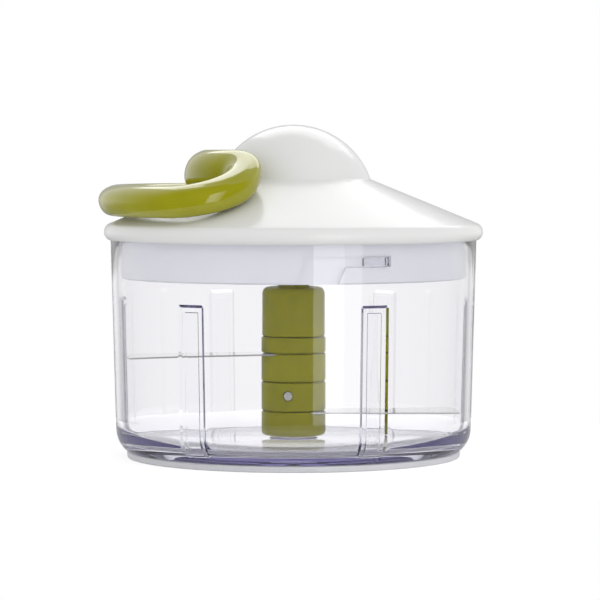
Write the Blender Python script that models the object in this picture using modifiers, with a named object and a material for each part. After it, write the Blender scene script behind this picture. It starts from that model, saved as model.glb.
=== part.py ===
# Food chopper worked by a pull cord: clear bowl, two-blade hub, domed lid, loop handle.
# Metres, +Z up. The origin is the middle of the foot ring's underside, the front is -Y,
# and the handle is pulled out along -X.

from math import acos, asin, atan2, ceil, cos, hypot, pi, radians, sin, sqrt, tan

import bmesh
import bpy
from mathutils import Matrix, Vector

# Shared clearances and mesh fineness.
gap = 0.0003
overrun = 0.001
weld = 0.00001
wide_steps = 48
hub_steps = 28
small_steps = 20
pin_steps = 14
arc_steps = 3
dome_steps = 7
bead_steps = 5
tip_steps = 8
sector_steps = 4
channel_steps = 6
socket_steps = 6
arc_pitch = 0.0008
smooth_angle = radians(32)

# Bowl: outside radius and height of its rim, and how much it narrows down to its lower
# corner. Foot, blades, lid and handle take their places from the rim.
bowl_rim_z = 0.083
bowl_rim_radius = 0.0694
bowl_taper = 0.0019
bowl_corner_z = 0.011
bowl_corner_round = 0.0107
bowl_wall = 0.0024
bowl_floor_z = 0.0064
bowl_floor_thickness = 0.0028
bowl_floor_round = 0.006
bowl_rim_round = 0.0007

# Foot ring under the bowl, set in from the bowl's corner.
foot_inset = 0.0042
foot_height = 0.0022
foot_width = 0.0125
foot_edge_round = 0.0006
tongue_width = 0.002
tongue_height = 0.0015

# Ribs inside the bowl.
rib_count = 6
rib_turn = radians(-33.7)
rib_clearance = 0.0076
rib_depth = 0.0015
rib_base_width = 0.0113
rib_face_width = 0.0053
rib_top_slope = 0.0029
rib_sink = 0.0005

# Lock lugs inside the bowl's rim.
lug_count = 3
lug_turn = radians(26.3)
lug_angle = radians(8)
lug_drop = 0.007
lug_height = 0.003
lug_depth = 0.0025

# Pivot pin and the boss that holds it.
pin_radius = 0.0016
pin_top_z = 0.019
boss_radius = 0.0092
boss_taper = 0.0003
boss_height = 0.0007

# Blade unit.
hub_radius = 0.0122
hub_bottom_z = 0.0077
hub_bottom_round = 0.0024
lower_seam_z = 0.0286
cap_bottom_z = 0.0456
cap_drop = 0.0191
cap_radius = 0.0119
cap_top_round = 0.0019
hub_edge_round = 0.0004
lower_blade_z = 0.0172
upper_blade_z = 0.0391
blade_thickness = 0.0006
blade_clearance = 0.0005
blade_half_width = 0.0095
blade_heel = 0.0048
blade_waist = 0.011
blade_flare = 0.0178
blade_edge_width = 0.003
blade_edge_angle = radians(8)
upper_blade_droop = radians(1)
spindle_radius = 0.003
spindle_top_z = 0.0486
cross_pin_z = 0.0237
cross_pin_radius = 0.00165
cross_pin_turn = radians(-10)
cross_pin_recess = 0.0005

# Drive between the lid's shaft and the hub cap. The tongue has free play in its socket,
# so that the lid can be twisted off its lock without turning the blades.
shaft_radius = 0.00595
shaft_entry = 0.0079
key_length = 0.0094
key_thickness = 0.003
key_depth = 0.0052
key_play = radians(22)
socket_core_radius = 0.0022

# Lid shell. Its cone runs straight from the dome to the rolled rim.
dome_radius = 0.0311
dome_rise = 0.0119
dome_join_inset = 0.0018
dome_join_round = 0.0012
bead_round = 0.0035
bead_rise = 0.0025
lid_overhang = 0.0025
lid_wall = 0.0022
join_rounds = 20
lid_land_width = 0.0085
seal_thickness = 0.0011

# Lid base: plate, skirt and the grooves of the lock.
skirt_clearance = 0.0013
skirt_wall = 0.0031
skirt_drop = 0.015
plate_drop = 0.003
plate_thickness = 0.002
groove_depth = 0.0018
groove_play = 0.0005
lid_twist = radians(17.6)
entry_slant = radians(3.6)
entry_play = radians(1.2)
channel_play = radians(1.8)
bush_boss_radius = 0.0116
bush_boss_drop = 0.0036
case_inset = 0.0049
case_wall = 0.0015

# Screws of the lid.
screw_count = 3
screw_turn = radians(90)
screw_inset = 0.0177
screw_radius = 0.0014
screw_length = 0.0105
screw_head_radius = 0.0031
screw_head_height = 0.0019
screw_head_round = 0.0008
post_radius = 0.0034

# Bush, washer and spring round the drive shaft.
bush_wall = 0.0022
bush_flange_radius = 0.0104
bush_flange_thickness = 0.0013
washer_thickness = 0.0006
washer_radius = 0.0098
arbor_radius = 0.0073
arbor_height = 0.0111
spring_turns = 5
spring_steps = 16
spring_strip = 0.0005
spring_height = 0.009
cover_thickness = 0.0012
hex_radius = 0.005
hex_height = 0.0125

# Reel and its cord.
cord_radius = 0.0012
cord_turns = 4
cord_steps = 20
cord_pitch = 0.00275
reel_inset = 0.0106
reel_flange_depth = 0.0045
reel_flange_thickness = 0.0015
reel_core_wall = 0.0025
reel_hub_wall = 0.0025
axle_radius = 0.0015
axle_grip = 0.0045
axle_boss_wall = 0.0025
axle_depth = 0.008

# Handle: a closed loop of crescent form that lies on the lid's cone round the dome. Its
# outer bar is set in from the bowl's rim and lifted off the cone, and its inner bar stands
# over the dome's foot and leans towards the dome. Its tips are wider and squarer.
handle_inset = 0.0018
handle_spread = radians(48.2)
handle_half_width = 0.0063
handle_tip_widening = 0.0006
handle_outer_half_height = 0.0056
handle_inner_half_height = 0.0059
handle_lift = 0.0015
handle_lean_share = 0.45
handle_roundness = 2.3
handle_tip_roundness = 2.9
handle_outer_steps = 14
handle_inner_steps = 8
handle_tip_steps = 10
handle_section_steps = 16
bar_crease = radians(22)
tip_crease = radians(62)
bar_facet_angle = radians(40)
tip_facet_angle = radians(62)
bar_facet_start_share = 0.6
tip_facet_share = 0.4
knot_radius = 0.0028
knot_round_share = 0.6
knot_pocket_depth = 0.0068

# Cord guide in the dome's wall.
guide_wall = 0.0011
guide_inner_reach = 0.0028
guide_outer_reach = 0.0004
guide_round = 0.0004


def new_collection(name):
    collection = bpy.data.collections.new(name)
    bpy.context.scene.collection.children.link(collection)
    return collection


for old in list(bpy.data.objects):
    bpy.data.objects.remove(old, do_unlink=True)
parts = new_collection("food_chopper")
tools = new_collection("cutters")


def finish(name, colour, roughness, metallic=0.0, alpha=1.0):
    """A Principled material of one colour."""
    material = bpy.data.materials.new(name)
    material.use_nodes = True
    shader = material.node_tree.nodes["Principled BSDF"]
    shader.inputs["Base Color"].default_value = (*colour, 1)
    shader.inputs["Roughness"].default_value = roughness
    shader.inputs["Metallic"].default_value = metallic
    shader.inputs["Alpha"].default_value = alpha
    material.diffuse_color = (*colour, alpha)
    return material


clear_plastic = finish("clear_plastic", (0.80, 0.79, 0.90), 0.06, alpha=0.35)
soft_clear = finish("soft_clear", (0.82, 0.83, 0.84), 0.45)
white_plastic = finish("white_plastic", (0.87, 0.87, 0.86), 0.18)
skirt_plastic = finish("skirt_plastic", (0.78, 0.79, 0.81), 0.35)
olive_plastic = finish("olive_plastic", (0.30, 0.31, 0.03), 0.25)
hub_plastic = finish("hub_plastic", (0.24, 0.24, 0.02), 0.4)
steel = finish("steel", (0.62, 0.62, 0.62), 0.25, metallic=1.0)
bush_plastic = finish("bush_plastic", (0.65, 0.64, 0.60), 0.4)
reel_plastic = finish("reel_plastic", (0.70, 0.70, 0.68), 0.4)
cord_fibre = finish("cord_fibre", (0.75, 0.75, 0.72), 0.8)


def mesh_of(item):
    """The evaluated mesh of an object or a curve, with loose caps welded."""
    bpy.context.view_layer.update()
    graph = bpy.context.evaluated_depsgraph_get()
    mesh = bpy.data.meshes.new_from_object(item.evaluated_get(graph))
    work = bmesh.new()
    work.from_mesh(mesh)
    bmesh.ops.remove_doubles(work, verts=work.verts, dist=weld)
    work.to_mesh(mesh)
    work.free()
    return mesh


def new_object(name, data, collection):
    item = bpy.data.objects.new(name, data)
    collection.objects.link(item)
    return item


def new_part(name, data, material):
    item = new_object(name, data, parts)
    item.data.materials.clear()
    item.data.materials.append(material)
    return item


def new_tool(name, data):
    item = new_object(name, data, tools)
    item.hide_render = True
    item.display_type = "WIRE"
    return item


def as_part(tool, name, material):
    """Makes the evaluated shape of a tool object a part of its own."""
    mesh = mesh_of(tool)
    bpy.data.objects.remove(tool, do_unlink=True)
    return new_part(name, mesh, material)


def combine(body, tool, operation):
    boolean = body.modifiers.new(tool.name, "BOOLEAN")
    boolean.object = tool
    boolean.operation = operation
    boolean.solver = "EXACT"


def settle(item):
    """Applies the modifiers, removes the cutters that they used and shades the faces smooth."""
    used = [modifier.object for modifier in item.modifiers if modifier.type == "BOOLEAN"]
    mesh = mesh_of(item)
    item.modifiers.clear()
    item.data = mesh
    mesh.shade_smooth()
    mesh.set_sharp_from_angle(angle=smooth_angle)
    for tool in used:
        bpy.data.objects.remove(tool, do_unlink=True)
    return item


def rounded(corners, ring=False, steps=arc_steps):
    """Turns (across, up, radius) corners into points, with an arc at each corner with a radius."""
    points = []
    count = len(corners)
    for i, (x, z, radius) in enumerate(corners):
        here = Vector((x, z))
        if radius == 0 or (not ring and i in (0, count - 1)):
            points.append((x, z))
            continue
        before = Vector(corners[i - 1][:2]) - here
        after = Vector(corners[(i + 1) % count][:2]) - here
        half = before.angle(after) / 2
        reach = min(radius / tan(half), before.length / 2, after.length / 2)
        size = reach * tan(half)
        middle = here + (before.normalized() + after.normalized()).normalized() * size / sin(half)
        start = here + before.normalized() * reach - middle
        end = here + after.normalized() * reach - middle
        sweep = start.angle_signed(end)
        cuts = min(steps, ceil(radius / arc_pitch))
        for k in range(cuts + 1):
            spoke = start.copy()
            spoke.rotate(Matrix.Rotation(-sweep * k / cuts, 2))
            points.append(tuple(middle + spoke))
    return points


def turned_tool(name, outline, steps, ring=False):
    """A turned shape. The outline is (radius, z) points and runs down its outer side."""
    count = len(outline)
    edges = [(i, i + 1) for i in range(count - 1)]
    if ring:
        edges.append((count - 1, 0))
    mesh = bpy.data.meshes.new(name)
    mesh.from_pydata([(radius, 0, z) for radius, z in outline], edges, [])
    item = new_tool(name, mesh)
    screw = item.modifiers.new("turn", "SCREW")
    screw.steps = steps
    screw.render_steps = steps
    screw.use_merge_vertices = True
    screw.merge_threshold = weld
    item.data = mesh_of(item)
    item.modifiers.clear()
    return item


def turned(name, outline, steps, material, ring=False):
    return as_part(turned_tool(name, outline, steps, ring), name, material)


def rod_tool(name, radius, start, end, steps=pin_steps):
    """A plain cylinder from one point to another."""
    span = Vector(end) - Vector(start)
    mesh = bpy.data.meshes.new(name)
    work = bmesh.new()
    bmesh.ops.create_cone(work, cap_ends=True, segments=steps, radius1=radius, radius2=radius,
                          depth=span.length)
    turn = Vector((0, 0, 1)).rotation_difference(span).to_matrix().to_4x4()
    bmesh.ops.transform(work, verts=work.verts, matrix=turn)
    bmesh.ops.translate(work, verts=work.verts, vec=(Vector(start) + Vector(end)) / 2)
    work.to_mesh(mesh)
    work.free()
    return new_tool(name, mesh)


def prism_tool(name, outline, low, high):
    """A flat outline of (x, y) points, raised from one height to another."""
    curve = bpy.data.curves.new(name, "CURVE")
    curve.dimensions = "2D"
    curve.fill_mode = "BOTH"
    curve.extrude = (high - low) / 2
    spline = curve.splines.new("POLY")
    spline.points.add(len(outline) - 1)
    for point, (x, y) in zip(spline.points, outline):
        point.co = (x, y, 0, 1)
    spline.use_cyclic_u = True
    item = new_tool(name, curve)
    mesh = mesh_of(item)
    mesh.transform(Matrix.Translation((0, 0, (high + low) / 2)))
    bpy.data.objects.remove(item, do_unlink=True)
    return new_tool(name, mesh)


def box_tool(name, low, high):
    mesh = bpy.data.meshes.new(name)
    work = bmesh.new()
    bmesh.ops.create_cube(work, size=1)
    size = Vector(high) - Vector(low)
    bmesh.ops.scale(work, verts=work.verts, vec=size)
    bmesh.ops.translate(work, verts=work.verts, vec=(Vector(high) + Vector(low)) / 2)
    work.to_mesh(mesh)
    work.free()
    return new_tool(name, mesh)


def tube(name, points, radius, material, sides=1):
    """A cord along hand-set or computed points, with filled ends."""
    curve = bpy.data.curves.new(name, "CURVE")
    curve.dimensions = "3D"
    curve.bevel_depth = radius
    curve.bevel_resolution = sides
    curve.use_fill_caps = True
    spline = curve.splines.new("POLY")
    spline.points.add(len(points) - 1)
    for point, place in zip(spline.points, points):
        point.co = (*place, 1)
    return as_part(new_tool(name, curve), name, material)


def arc(radius, start, end, steps, centre=(0, 0)):
    """Points along an arc, ends included, angles from +X."""
    angles = [start + (end - start) * k / steps for k in range(steps + 1)]
    return [(centre[0] + radius * cos(a), centre[1] + radius * sin(a)) for a in angles]


def from_front(angle):
    """The direction in the plane at an angle from the front, turned towards +X."""
    return Vector((sin(angle), -cos(angle), 0))


# Radii that follow from the sizes above.
dome_join_radius = dome_radius - dome_join_inset
case_radius = dome_radius - case_inset
reel_flange_radius = dome_radius - reel_inset
reel_core_radius = reel_flange_radius - reel_flange_depth
reel_hollow_radius = reel_core_radius - reel_core_wall
bowl_corner_radius = bowl_rim_radius - bowl_taper
bowl_inner_rim_radius = bowl_rim_radius - bowl_wall
bowl_inner_corner_radius = bowl_corner_radius - bowl_wall
foot_radius = bowl_corner_radius - foot_inset
skirt_radius = bowl_inner_rim_radius - skirt_clearance
screw_ring_radius = skirt_radius - screw_inset
bead_centre_radius = bowl_rim_radius + lid_overhang - bead_round
lip_radius = bowl_rim_radius + gap
lid_land_inner_radius = lip_radius - lid_land_width
handle_outer_radius = bowl_rim_radius - handle_inset
handle_inner_radius = dome_join_radius + handle_half_width

# Heights that follow from the sizes above.
bowl_underside_z = foot_height + gap
tongue_top_z = foot_height + tongue_height
boss_top_z = bowl_floor_z + boss_height
lug_z = bowl_rim_z - lug_drop
skirt_bottom_z = bowl_rim_z - skirt_drop
rib_top_z = skirt_bottom_z - rib_clearance
plate_top_z = bowl_rim_z - plate_drop
cap_top_z = bowl_rim_z - cap_drop
shaft_end_z = cap_top_z - shaft_entry
land_z = bowl_rim_z + seal_thickness + 2 * gap
bead_centre_z = bowl_rim_z + bead_rise
dome_centre_z = bowl_rim_z + dome_rise
dome_join_z = dome_centre_z + sqrt(dome_radius ** 2 - dome_join_radius ** 2)

# Slopes of the bowl's wall and of the lid's cone, which touches the rolled rim.
bowl_draft = bowl_taper / (bowl_rim_z - bowl_corner_z)
cone_run = bead_centre_radius - dome_join_radius
cone_drop = dome_join_z - bead_centre_z
cone_slope = atan2(cone_drop, cone_run) - asin(bead_round / hypot(cone_run, cone_drop))
cone_fall = tan(cone_slope)


def bowl_inside(z):
    """Radius of the bowl's inner wall at a height."""
    return bowl_inner_corner_radius + bowl_draft * (z - bowl_corner_z)


blade_reach = bowl_inside(lower_blade_z) - rib_depth - blade_clearance


def cone_z(radius):
    """Height of the lid's outer cone at a radius."""
    return dome_join_z - cone_fall * (radius - dome_join_radius)


# Bowl: clear moulded tub, turned, with ribs and lugs joined to its inner wall.
def make_bowl():
    hole_radius = pin_radius + gap
    hole_z = bowl_floor_z - bowl_floor_thickness / 2
    recess_z = bowl_floor_z - bowl_floor_thickness
    groove_outer = foot_radius - (foot_width - tongue_width) / 2 + gap
    groove_inner = groove_outer - tongue_width - 2 * gap
    groove_z = tongue_top_z + gap
    inner_edge = foot_radius - foot_width
    drop = bowl_corner_z - bowl_underside_z
    corner_centre = bowl_corner_radius - bowl_corner_round
    outline = [(0, hole_z, 0), (hole_radius, hole_z, 0), (hole_radius, boss_top_z, 0),
               (boss_radius - boss_taper, boss_top_z, boss_taper),
               (boss_radius, bowl_floor_z, boss_taper),
               (bowl_inside(bowl_floor_z), bowl_floor_z, bowl_floor_round),
               (bowl_inner_rim_radius, bowl_rim_z, bowl_rim_round),
               (bowl_rim_radius, bowl_rim_z, bowl_rim_round)]
    points = rounded(outline + [(bowl_corner_radius, bowl_corner_z, 0)])
    corner_end = asin(min(1, drop / bowl_corner_round))
    corner = arc(bowl_corner_round, 0, -corner_end, arc_steps, (corner_centre, bowl_corner_z))
    points += corner[1:]
    points += [(groove_outer, bowl_underside_z), (groove_outer, groove_z),
               (groove_inner, groove_z), (groove_inner, bowl_underside_z),
               (inner_edge, bowl_underside_z), (inner_edge - gap, recess_z), (0, recess_z)]
    bowl = turned("bowl", points, wide_steps, clear_plastic)
    for i in range(rib_count):
        rib = make_rib(f"rib_{i}", rib_turn + 2 * pi * i / rib_count)
        combine(bowl, rib, "UNION")
    for i in range(lug_count):
        lug = sector_tool(f"lug_{i}", bowl_inside(lug_z) - lug_depth,
                          bowl_inside(lug_z) + bowl_wall / 2, lug_angle,
                          lug_turn + 2 * pi * i / lug_count,
                          lug_z - lug_height / 2, lug_z + lug_height / 2)
        combine(bowl, lug, "UNION")
    return settle(bowl)


def make_rib(name, turn):
    """One rib: wide at the wall, narrow at its face, its top sloping down to the face."""
    low = bowl_floor_z - rib_sink
    reach = rib_depth + bowl_wall / 2
    buried_width = rib_face_width + (rib_base_width - rib_face_width) * reach / rib_depth
    rib = box_tool(name, (0, -buried_width / 2, low), (reach, buried_width / 2, rib_top_z))
    narrow_share = rib_face_width / buried_width
    for corner in rib.data.vertices:
        if corner.co.x < rib_depth / 2:
            corner.co.y *= narrow_share
            if corner.co.z > bowl_floor_z:
                corner.co.z -= rib_top_slope
        elif corner.co.z < bowl_floor_z:
            corner.co.x = rib_depth
        corner.co.x += bowl_inside(corner.co.z) - rib_depth
    rib.data.transform(Matrix.Rotation(turn - pi / 2, 4, "Z"))
    return rib


def sector_tool(name, inner, outer, width, turn, low, high, slant=0.0, steps=sector_steps):
    """A block between two radii, centred on an angle from the front. The slant turns its top."""
    middle = turn - pi / 2
    outline = arc(outer, middle - width / 2, middle + width / 2, steps)
    outline += arc(inner, middle + width / 2, middle - width / 2, steps)
    block = prism_tool(name, outline, low, high)
    for corner in block.data.vertices:
        if corner.co.z > (low + high) / 2:
            corner.co.rotate(Matrix.Rotation(slant, 3, "Z"))
    return block


# Foot ring: soft ring under the bowl, held by a tongue in the bowl's groove.
def make_foot_ring():
    inner = foot_radius - foot_width
    tongue_outer = foot_radius - (foot_width - tongue_width) / 2
    tongue_inner = tongue_outer - tongue_width
    outline = [(tongue_inner, tongue_top_z, 0), (tongue_outer, tongue_top_z, 0),
               (tongue_outer, foot_height, 0), (foot_radius, foot_height, 0),
               (foot_radius, 0, foot_edge_round), (inner, 0, 0), (inner, foot_height, 0),
               (tongue_inner, foot_height, 0)]
    return settle(turned("foot_ring", rounded(outline, ring=True, steps=2), wide_steps,
                         soft_clear, ring=True))


# Pivot pin: steel pin in the floor's boss, with a domed tip under the spindle.
def make_pivot_pin():
    bottom = bowl_floor_z - bowl_floor_thickness / 2 + gap
    tip = arc(pin_radius, pi / 2, 0, arc_steps, (0, pin_top_z - pin_radius))
    outline = [(0, pin_top_z)] + tip[1:]
    outline += [(pin_radius, bottom), (0, bottom)]
    return settle(turned("pivot_pin", outline, pin_steps, steel))


# Hub: turned pieces stacked on a steel spindle, with pockets that clamp the blades.
def hub_ring(name, low, high, top_round, bottom_round, radius=hub_radius):
    bore = spindle_radius + gap
    outline = [(bore, high, 0), (radius, high, top_round), (radius, low, bottom_round),
               (bore, low, 0)]
    return turned(name, rounded(outline, ring=True), hub_steps, hub_plastic, ring=True)


def cut_blade_pocket(hub, blade_z, direction):
    low = blade_z - blade_thickness / 2 - gap
    high = blade_z + blade_thickness / 2 + overrun
    side = blade_half_width + gap
    pocket = box_tool(hub.name + "_pocket", (-blade_heel - gap, -side, low),
                      (hub_radius + overrun, side, high))
    pocket.data.transform(Matrix.Scale(direction, 4, (1, 0, 0)))
    if direction < 0:
        pocket.data.flip_normals()
    combine(hub, pocket, "DIFFERENCE")


def make_hub():
    blade_half = blade_thickness / 2
    base = hub_ring("hub_base", hub_bottom_z, lower_blade_z + blade_half, hub_edge_round,
                    hub_bottom_round)
    cut_blade_pocket(base, lower_blade_z, 1)
    settle(base)

    clamp = hub_ring("lower_clamp", lower_blade_z + blade_half + gap, lower_seam_z,
                     hub_edge_round, hub_edge_round)
    reach = from_front(cross_pin_turn) * (hub_radius + overrun)
    rise = Vector((0, 0, cross_pin_z))
    combine(clamp, rod_tool("clamp_hole", cross_pin_radius + gap, rise - reach, rise + reach),
            "DIFFERENCE")
    settle(clamp)

    middle = hub_ring("middle_hub", lower_seam_z + gap, upper_blade_z + blade_half,
                      hub_edge_round, hub_edge_round)
    cut_blade_pocket(middle, upper_blade_z, -1)
    settle(middle)

    settle(hub_ring("upper_clamp", upper_blade_z + blade_half + gap, cap_bottom_z,
                    hub_edge_round, hub_edge_round))


# Hub cap: tall cap with the bore for the drive shaft and, below it, the socket for its key.
def make_hub_cap():
    low = cap_bottom_z + gap
    bore = shaft_radius + gap
    floor = shaft_end_z - gap
    inner = spindle_radius + gap
    outline = [(0, floor, 0), (bore, floor, 0), (bore, cap_top_z, hub_edge_round),
               (cap_radius, cap_top_z, cap_top_round), (cap_radius, low, hub_edge_round),
               (inner, low, 0), (inner, spindle_top_z + gap, 0), (0, spindle_top_z + gap, 0)]
    cap = turned("hub_cap", rounded(outline), hub_steps, hub_plastic)
    half = key_thickness / 2 + gap
    reach = hypot(key_length, key_thickness) / 2 + gap
    near = asin(half / socket_core_radius)
    far = asin(half / reach)
    outline = []
    for turn in (0, pi):
        outline += arc(reach, turn - far, turn + far + key_play, socket_steps)
        outline += arc(socket_core_radius, turn + near + key_play, turn + pi - near, arc_steps)
    socket = prism_tool("socket", outline, shaft_end_z - key_depth - gap, shaft_end_z + overrun)
    combine(cap, socket, "DIFFERENCE")
    return settle(cap)


# Spindle: steel core through the hub, bored from below for the pivot pin.
def make_spindle():
    low = hub_bottom_z + gap
    bore = pin_radius + gap
    top = spindle_top_z
    outline = [(0, top), (spindle_radius, top), (spindle_radius, low), (bore, low),
               (bore, pin_top_z + gap), (0, pin_top_z + gap)]
    spindle = turned("spindle", outline, small_steps, steel)
    reach = from_front(cross_pin_turn) * (spindle_radius + overrun)
    rise = Vector((0, 0, cross_pin_z))
    combine(spindle, rod_tool("spindle_hole", cross_pin_radius + gap, rise - reach, rise + reach),
            "DIFFERENCE")
    return settle(spindle)


def make_cross_pin():
    reach = from_front(cross_pin_turn) * (hub_radius - cross_pin_recess)
    rise = Vector((0, 0, cross_pin_z))
    pin = rod_tool("cross_pin", cross_pin_radius, rise - reach, rise + reach)
    return settle(as_part(pin, "cross_pin", steel))


# Blades: flat stamped plates with a ground front edge, a hole for the spindle and a tip
# cut on the circle that they sweep. The upper one is set down a little towards its tip.
def make_blade(name, z, turn, droop):
    corner = asin(blade_half_width / blade_reach)
    flare = asin(blade_flare / blade_reach)
    outline = [(-blade_heel, -blade_half_width), (hub_radius, -blade_half_width)]
    outline += arc(blade_reach, -corner, flare, tip_steps)
    back_share = (0.82, 0.62, 0.42)
    for share in back_share:
        x = blade_reach * share
        rise = (share - back_share[-1]) / (1 - back_share[-1])
        outline.append((x, blade_waist + (blade_flare - blade_waist) * rise ** 2))
    outline += [(hub_radius, blade_half_width), (-blade_heel, blade_half_width)]
    half = blade_thickness / 2
    blade = as_part(prism_tool(name, outline, -half, half), name, steel)
    hole = rod_tool(name + "_hole", spindle_radius + gap, (0, 0, -half - overrun),
                    (0, 0, half + overrun), small_steps)
    combine(blade, hole, "DIFFERENCE")
    edge = box_tool(name + "_grind", (hub_radius + overrun, -blade_edge_width, 0),
                    (blade_reach + overrun, blade_edge_width, overrun))
    edge.data.transform(Matrix.Rotation(blade_edge_angle, 4, "X"))
    edge.data.transform(Matrix.Translation((0, -blade_half_width, 0)))
    combine(blade, edge, "DIFFERENCE")
    settle(blade)
    work = bmesh.new()
    work.from_mesh(blade.data)
    bmesh.ops.bisect_plane(work, geom=work.verts[:] + work.edges[:] + work.faces[:],
                           plane_co=(hub_radius, 0, 0), plane_no=(1, 0, 0), dist=weld)
    for corner in work.verts:
        corner.co.z -= max(0, corner.co.x - hub_radius) * tan(droop)
    work.to_mesh(blade.data)
    work.free()
    blade.matrix_world = Matrix.Translation((0, 0, z)) @ Matrix.Rotation(turn, 4, "Z")
    return blade


# Lid shell: dome, cone and rolled rim in one moulding, hollow below, with a boss for the
# reel's axle and posts for the screws.
def make_lid_shell():
    join_angle = atan2(dome_join_z - dome_centre_z, dome_join_radius)
    dome = arc(dome_radius, pi / 2, join_angle, dome_steps, (0, dome_centre_z))
    side = pi / 2 - cone_slope
    bead = arc(bead_round, side, -side, bead_steps, (bead_centre_radius, bead_centre_z))
    bead_end = [point for point in bead if point[1] > bead_centre_z or point[0] > lip_radius]
    inner_dome_radius = dome_radius - lid_wall
    drop = lid_wall / cos(cone_slope)
    land = lid_land_inner_radius
    bore = axle_radius + gap
    boss = bore + axle_boss_wall
    boss_bottom = reel_top_z() + gap
    axle_top = boss_bottom + axle_grip + gap
    join_in = inner_join_radius(inner_dome_radius, drop)
    inner_start = asin((cone_z(join_in) - drop - dome_centre_z) / inner_dome_radius)
    inner_end = pi / 2 - asin(boss / inner_dome_radius)
    outline = dome[:-1]
    outline += rounded([(*dome[-2], 0), (*dome[-1], dome_join_round), (*bead[0], 0)])[1:-1]
    outline += bead_end
    outline += [(lip_radius, bead_end[-1][1]), (lip_radius, land_z), (land, land_z),
                (land, cone_z(land) - drop)]
    outline += arc(inner_dome_radius, inner_start, inner_end, arc_steps, (0, dome_centre_z))
    outline += [(boss, boss_bottom), (bore, boss_bottom), (bore, axle_top), (0, axle_top)]
    shell = turned("lid_shell", outline, wide_steps, white_plastic)
    for i in range(screw_count):
        post = make_post(f"post_{i}", screw_turn + 2 * pi * i / screw_count)
        combine(shell, post, "UNION")
    for i in range(screw_count):
        place = from_front(screw_turn + 2 * pi * i / screw_count) * screw_ring_radius
        low = Vector((0, 0, plate_top_z - overrun))
        high = Vector((0, 0, plate_top_z + screw_length))
        combine(shell, rod_tool(f"post_bore_{i}", screw_radius + gap, place + low, place + high),
                "DIFFERENCE")
    outside = -dome_radius - overrun
    combine(shell, rod_tool("guide_hole", cord_radius + gap + guide_wall + gap,
                            (outside, 0, cord_z()), (-boss, 0, cord_z()), small_steps),
            "DIFFERENCE")
    return settle(shell)


def inner_join_radius(inner_dome_radius, drop):
    """Radius at which the inner cone meets the inner dome."""
    radius = dome_join_radius
    for _ in range(join_rounds):
        up = cone_z(radius) - drop - dome_centre_z
        radius = sqrt(inner_dome_radius ** 2 - up ** 2)
    return radius


def make_post(name, turn):
    """A screw post that ends inside the sloping wall of the lid."""
    place = from_front(turn) * screw_ring_radius
    low = plate_top_z + gap
    post = rod_tool(name, post_radius, place + Vector((0, 0, low)),
                    place + Vector((0, 0, low + post_radius)), small_steps)
    for corner in post.data.vertices:
        if corner.co.z > low + post_radius / 2:
            across = hypot(corner.co.x, corner.co.y)
            corner.co.z = cone_z(across) - lid_wall / 2
    return post


# Lid base: plate, skirt and spring case in one moulding, with the lock's grooves cut
# into the skirt and holes for the screws.
def make_lid_base():
    top = land_z - gap
    inner = skirt_radius - skirt_wall
    plate_low = plate_top_z - plate_thickness
    bore = shaft_radius + gap + bush_wall + gap
    case_top = case_top_z()
    outline = [(inner, top, 0), (skirt_radius, top, 0), (skirt_radius, skirt_bottom_z, foot_edge_round),
               (inner, skirt_bottom_z, foot_edge_round), (inner, plate_low, plate_thickness / 2),
               (bush_boss_radius, plate_low, plate_thickness / 2),
               (bush_boss_radius, plate_low - bush_boss_drop, hub_edge_round),
               (bore, plate_low - bush_boss_drop, 0), (bore, plate_top_z, 0),
               (case_radius - case_wall, plate_top_z, 0), (case_radius - case_wall, case_top, 0),
               (case_radius, case_top, 0), (case_radius, plate_top_z, 0),
               (inner, plate_top_z, plate_thickness / 2)]
    base = turned("lid_base", rounded(outline, ring=True, steps=1), wide_steps, skirt_plastic,
                  ring=True)
    for i in range(lug_count):
        cut_groove(base, i)
    for i in range(screw_count):
        place = from_front(screw_turn + 2 * pi * i / screw_count) * screw_ring_radius
        low = Vector((0, 0, plate_low - overrun))
        high = Vector((0, 0, plate_top_z + overrun))
        combine(base, rod_tool(f"screw_hole_{i}", screw_radius + gap, place + low, place + high),
                "DIFFERENCE")
    return settle(base)


def cut_groove(base, index):
    """One lock groove: an entry that slants up from the skirt's edge, and a level channel."""
    turn = lug_turn + 2 * pi * index / lug_count
    half_height = lug_height / 2 + groove_play
    floor = skirt_radius - groove_depth
    outside = skirt_radius + overrun
    width = lid_twist + lug_angle + 2 * channel_play
    channel = sector_tool(f"channel_{index}", floor, outside, width, turn - lid_twist / 2,
                          lug_z - half_height, lug_z + half_height, steps=channel_steps)
    open_width = lug_angle + 2 * entry_play + entry_slant
    entry = sector_tool(f"entry_{index}", floor, outside, open_width,
                        turn - lid_twist - entry_slant / 2, skirt_bottom_z - overrun,
                        lug_z, slant=entry_slant)
    combine(base, channel, "DIFFERENCE")
    combine(base, entry, "DIFFERENCE")


# Seal ring: soft ring on the bowl's rim, under the lid's land.
def make_seal_ring():
    low = bowl_rim_z + gap
    high = low + seal_thickness
    inner = skirt_radius + gap
    outline = [(inner, high), (bowl_rim_radius, high), (bowl_rim_radius, low), (inner, low)]
    return settle(turned("seal_ring", outline, wide_steps, soft_clear, ring=True))


def make_lid_screws():
    top = plate_top_z - plate_thickness - gap
    low = top - screw_head_height
    tip = top + screw_length
    for i in range(screw_count):
        outline = [(0, tip, 0), (screw_radius, tip, 0), (screw_radius, top, 0),
                   (screw_head_radius, top, 0), (screw_head_radius, low, screw_head_round),
                   (0, low, 0)]
        screw = turned(f"lid_screw_{i + 1}", rounded(outline), pin_steps, steel)
        settle(screw)
        screw.location = from_front(screw_turn + 2 * pi * i / screw_count) * screw_ring_radius


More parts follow.
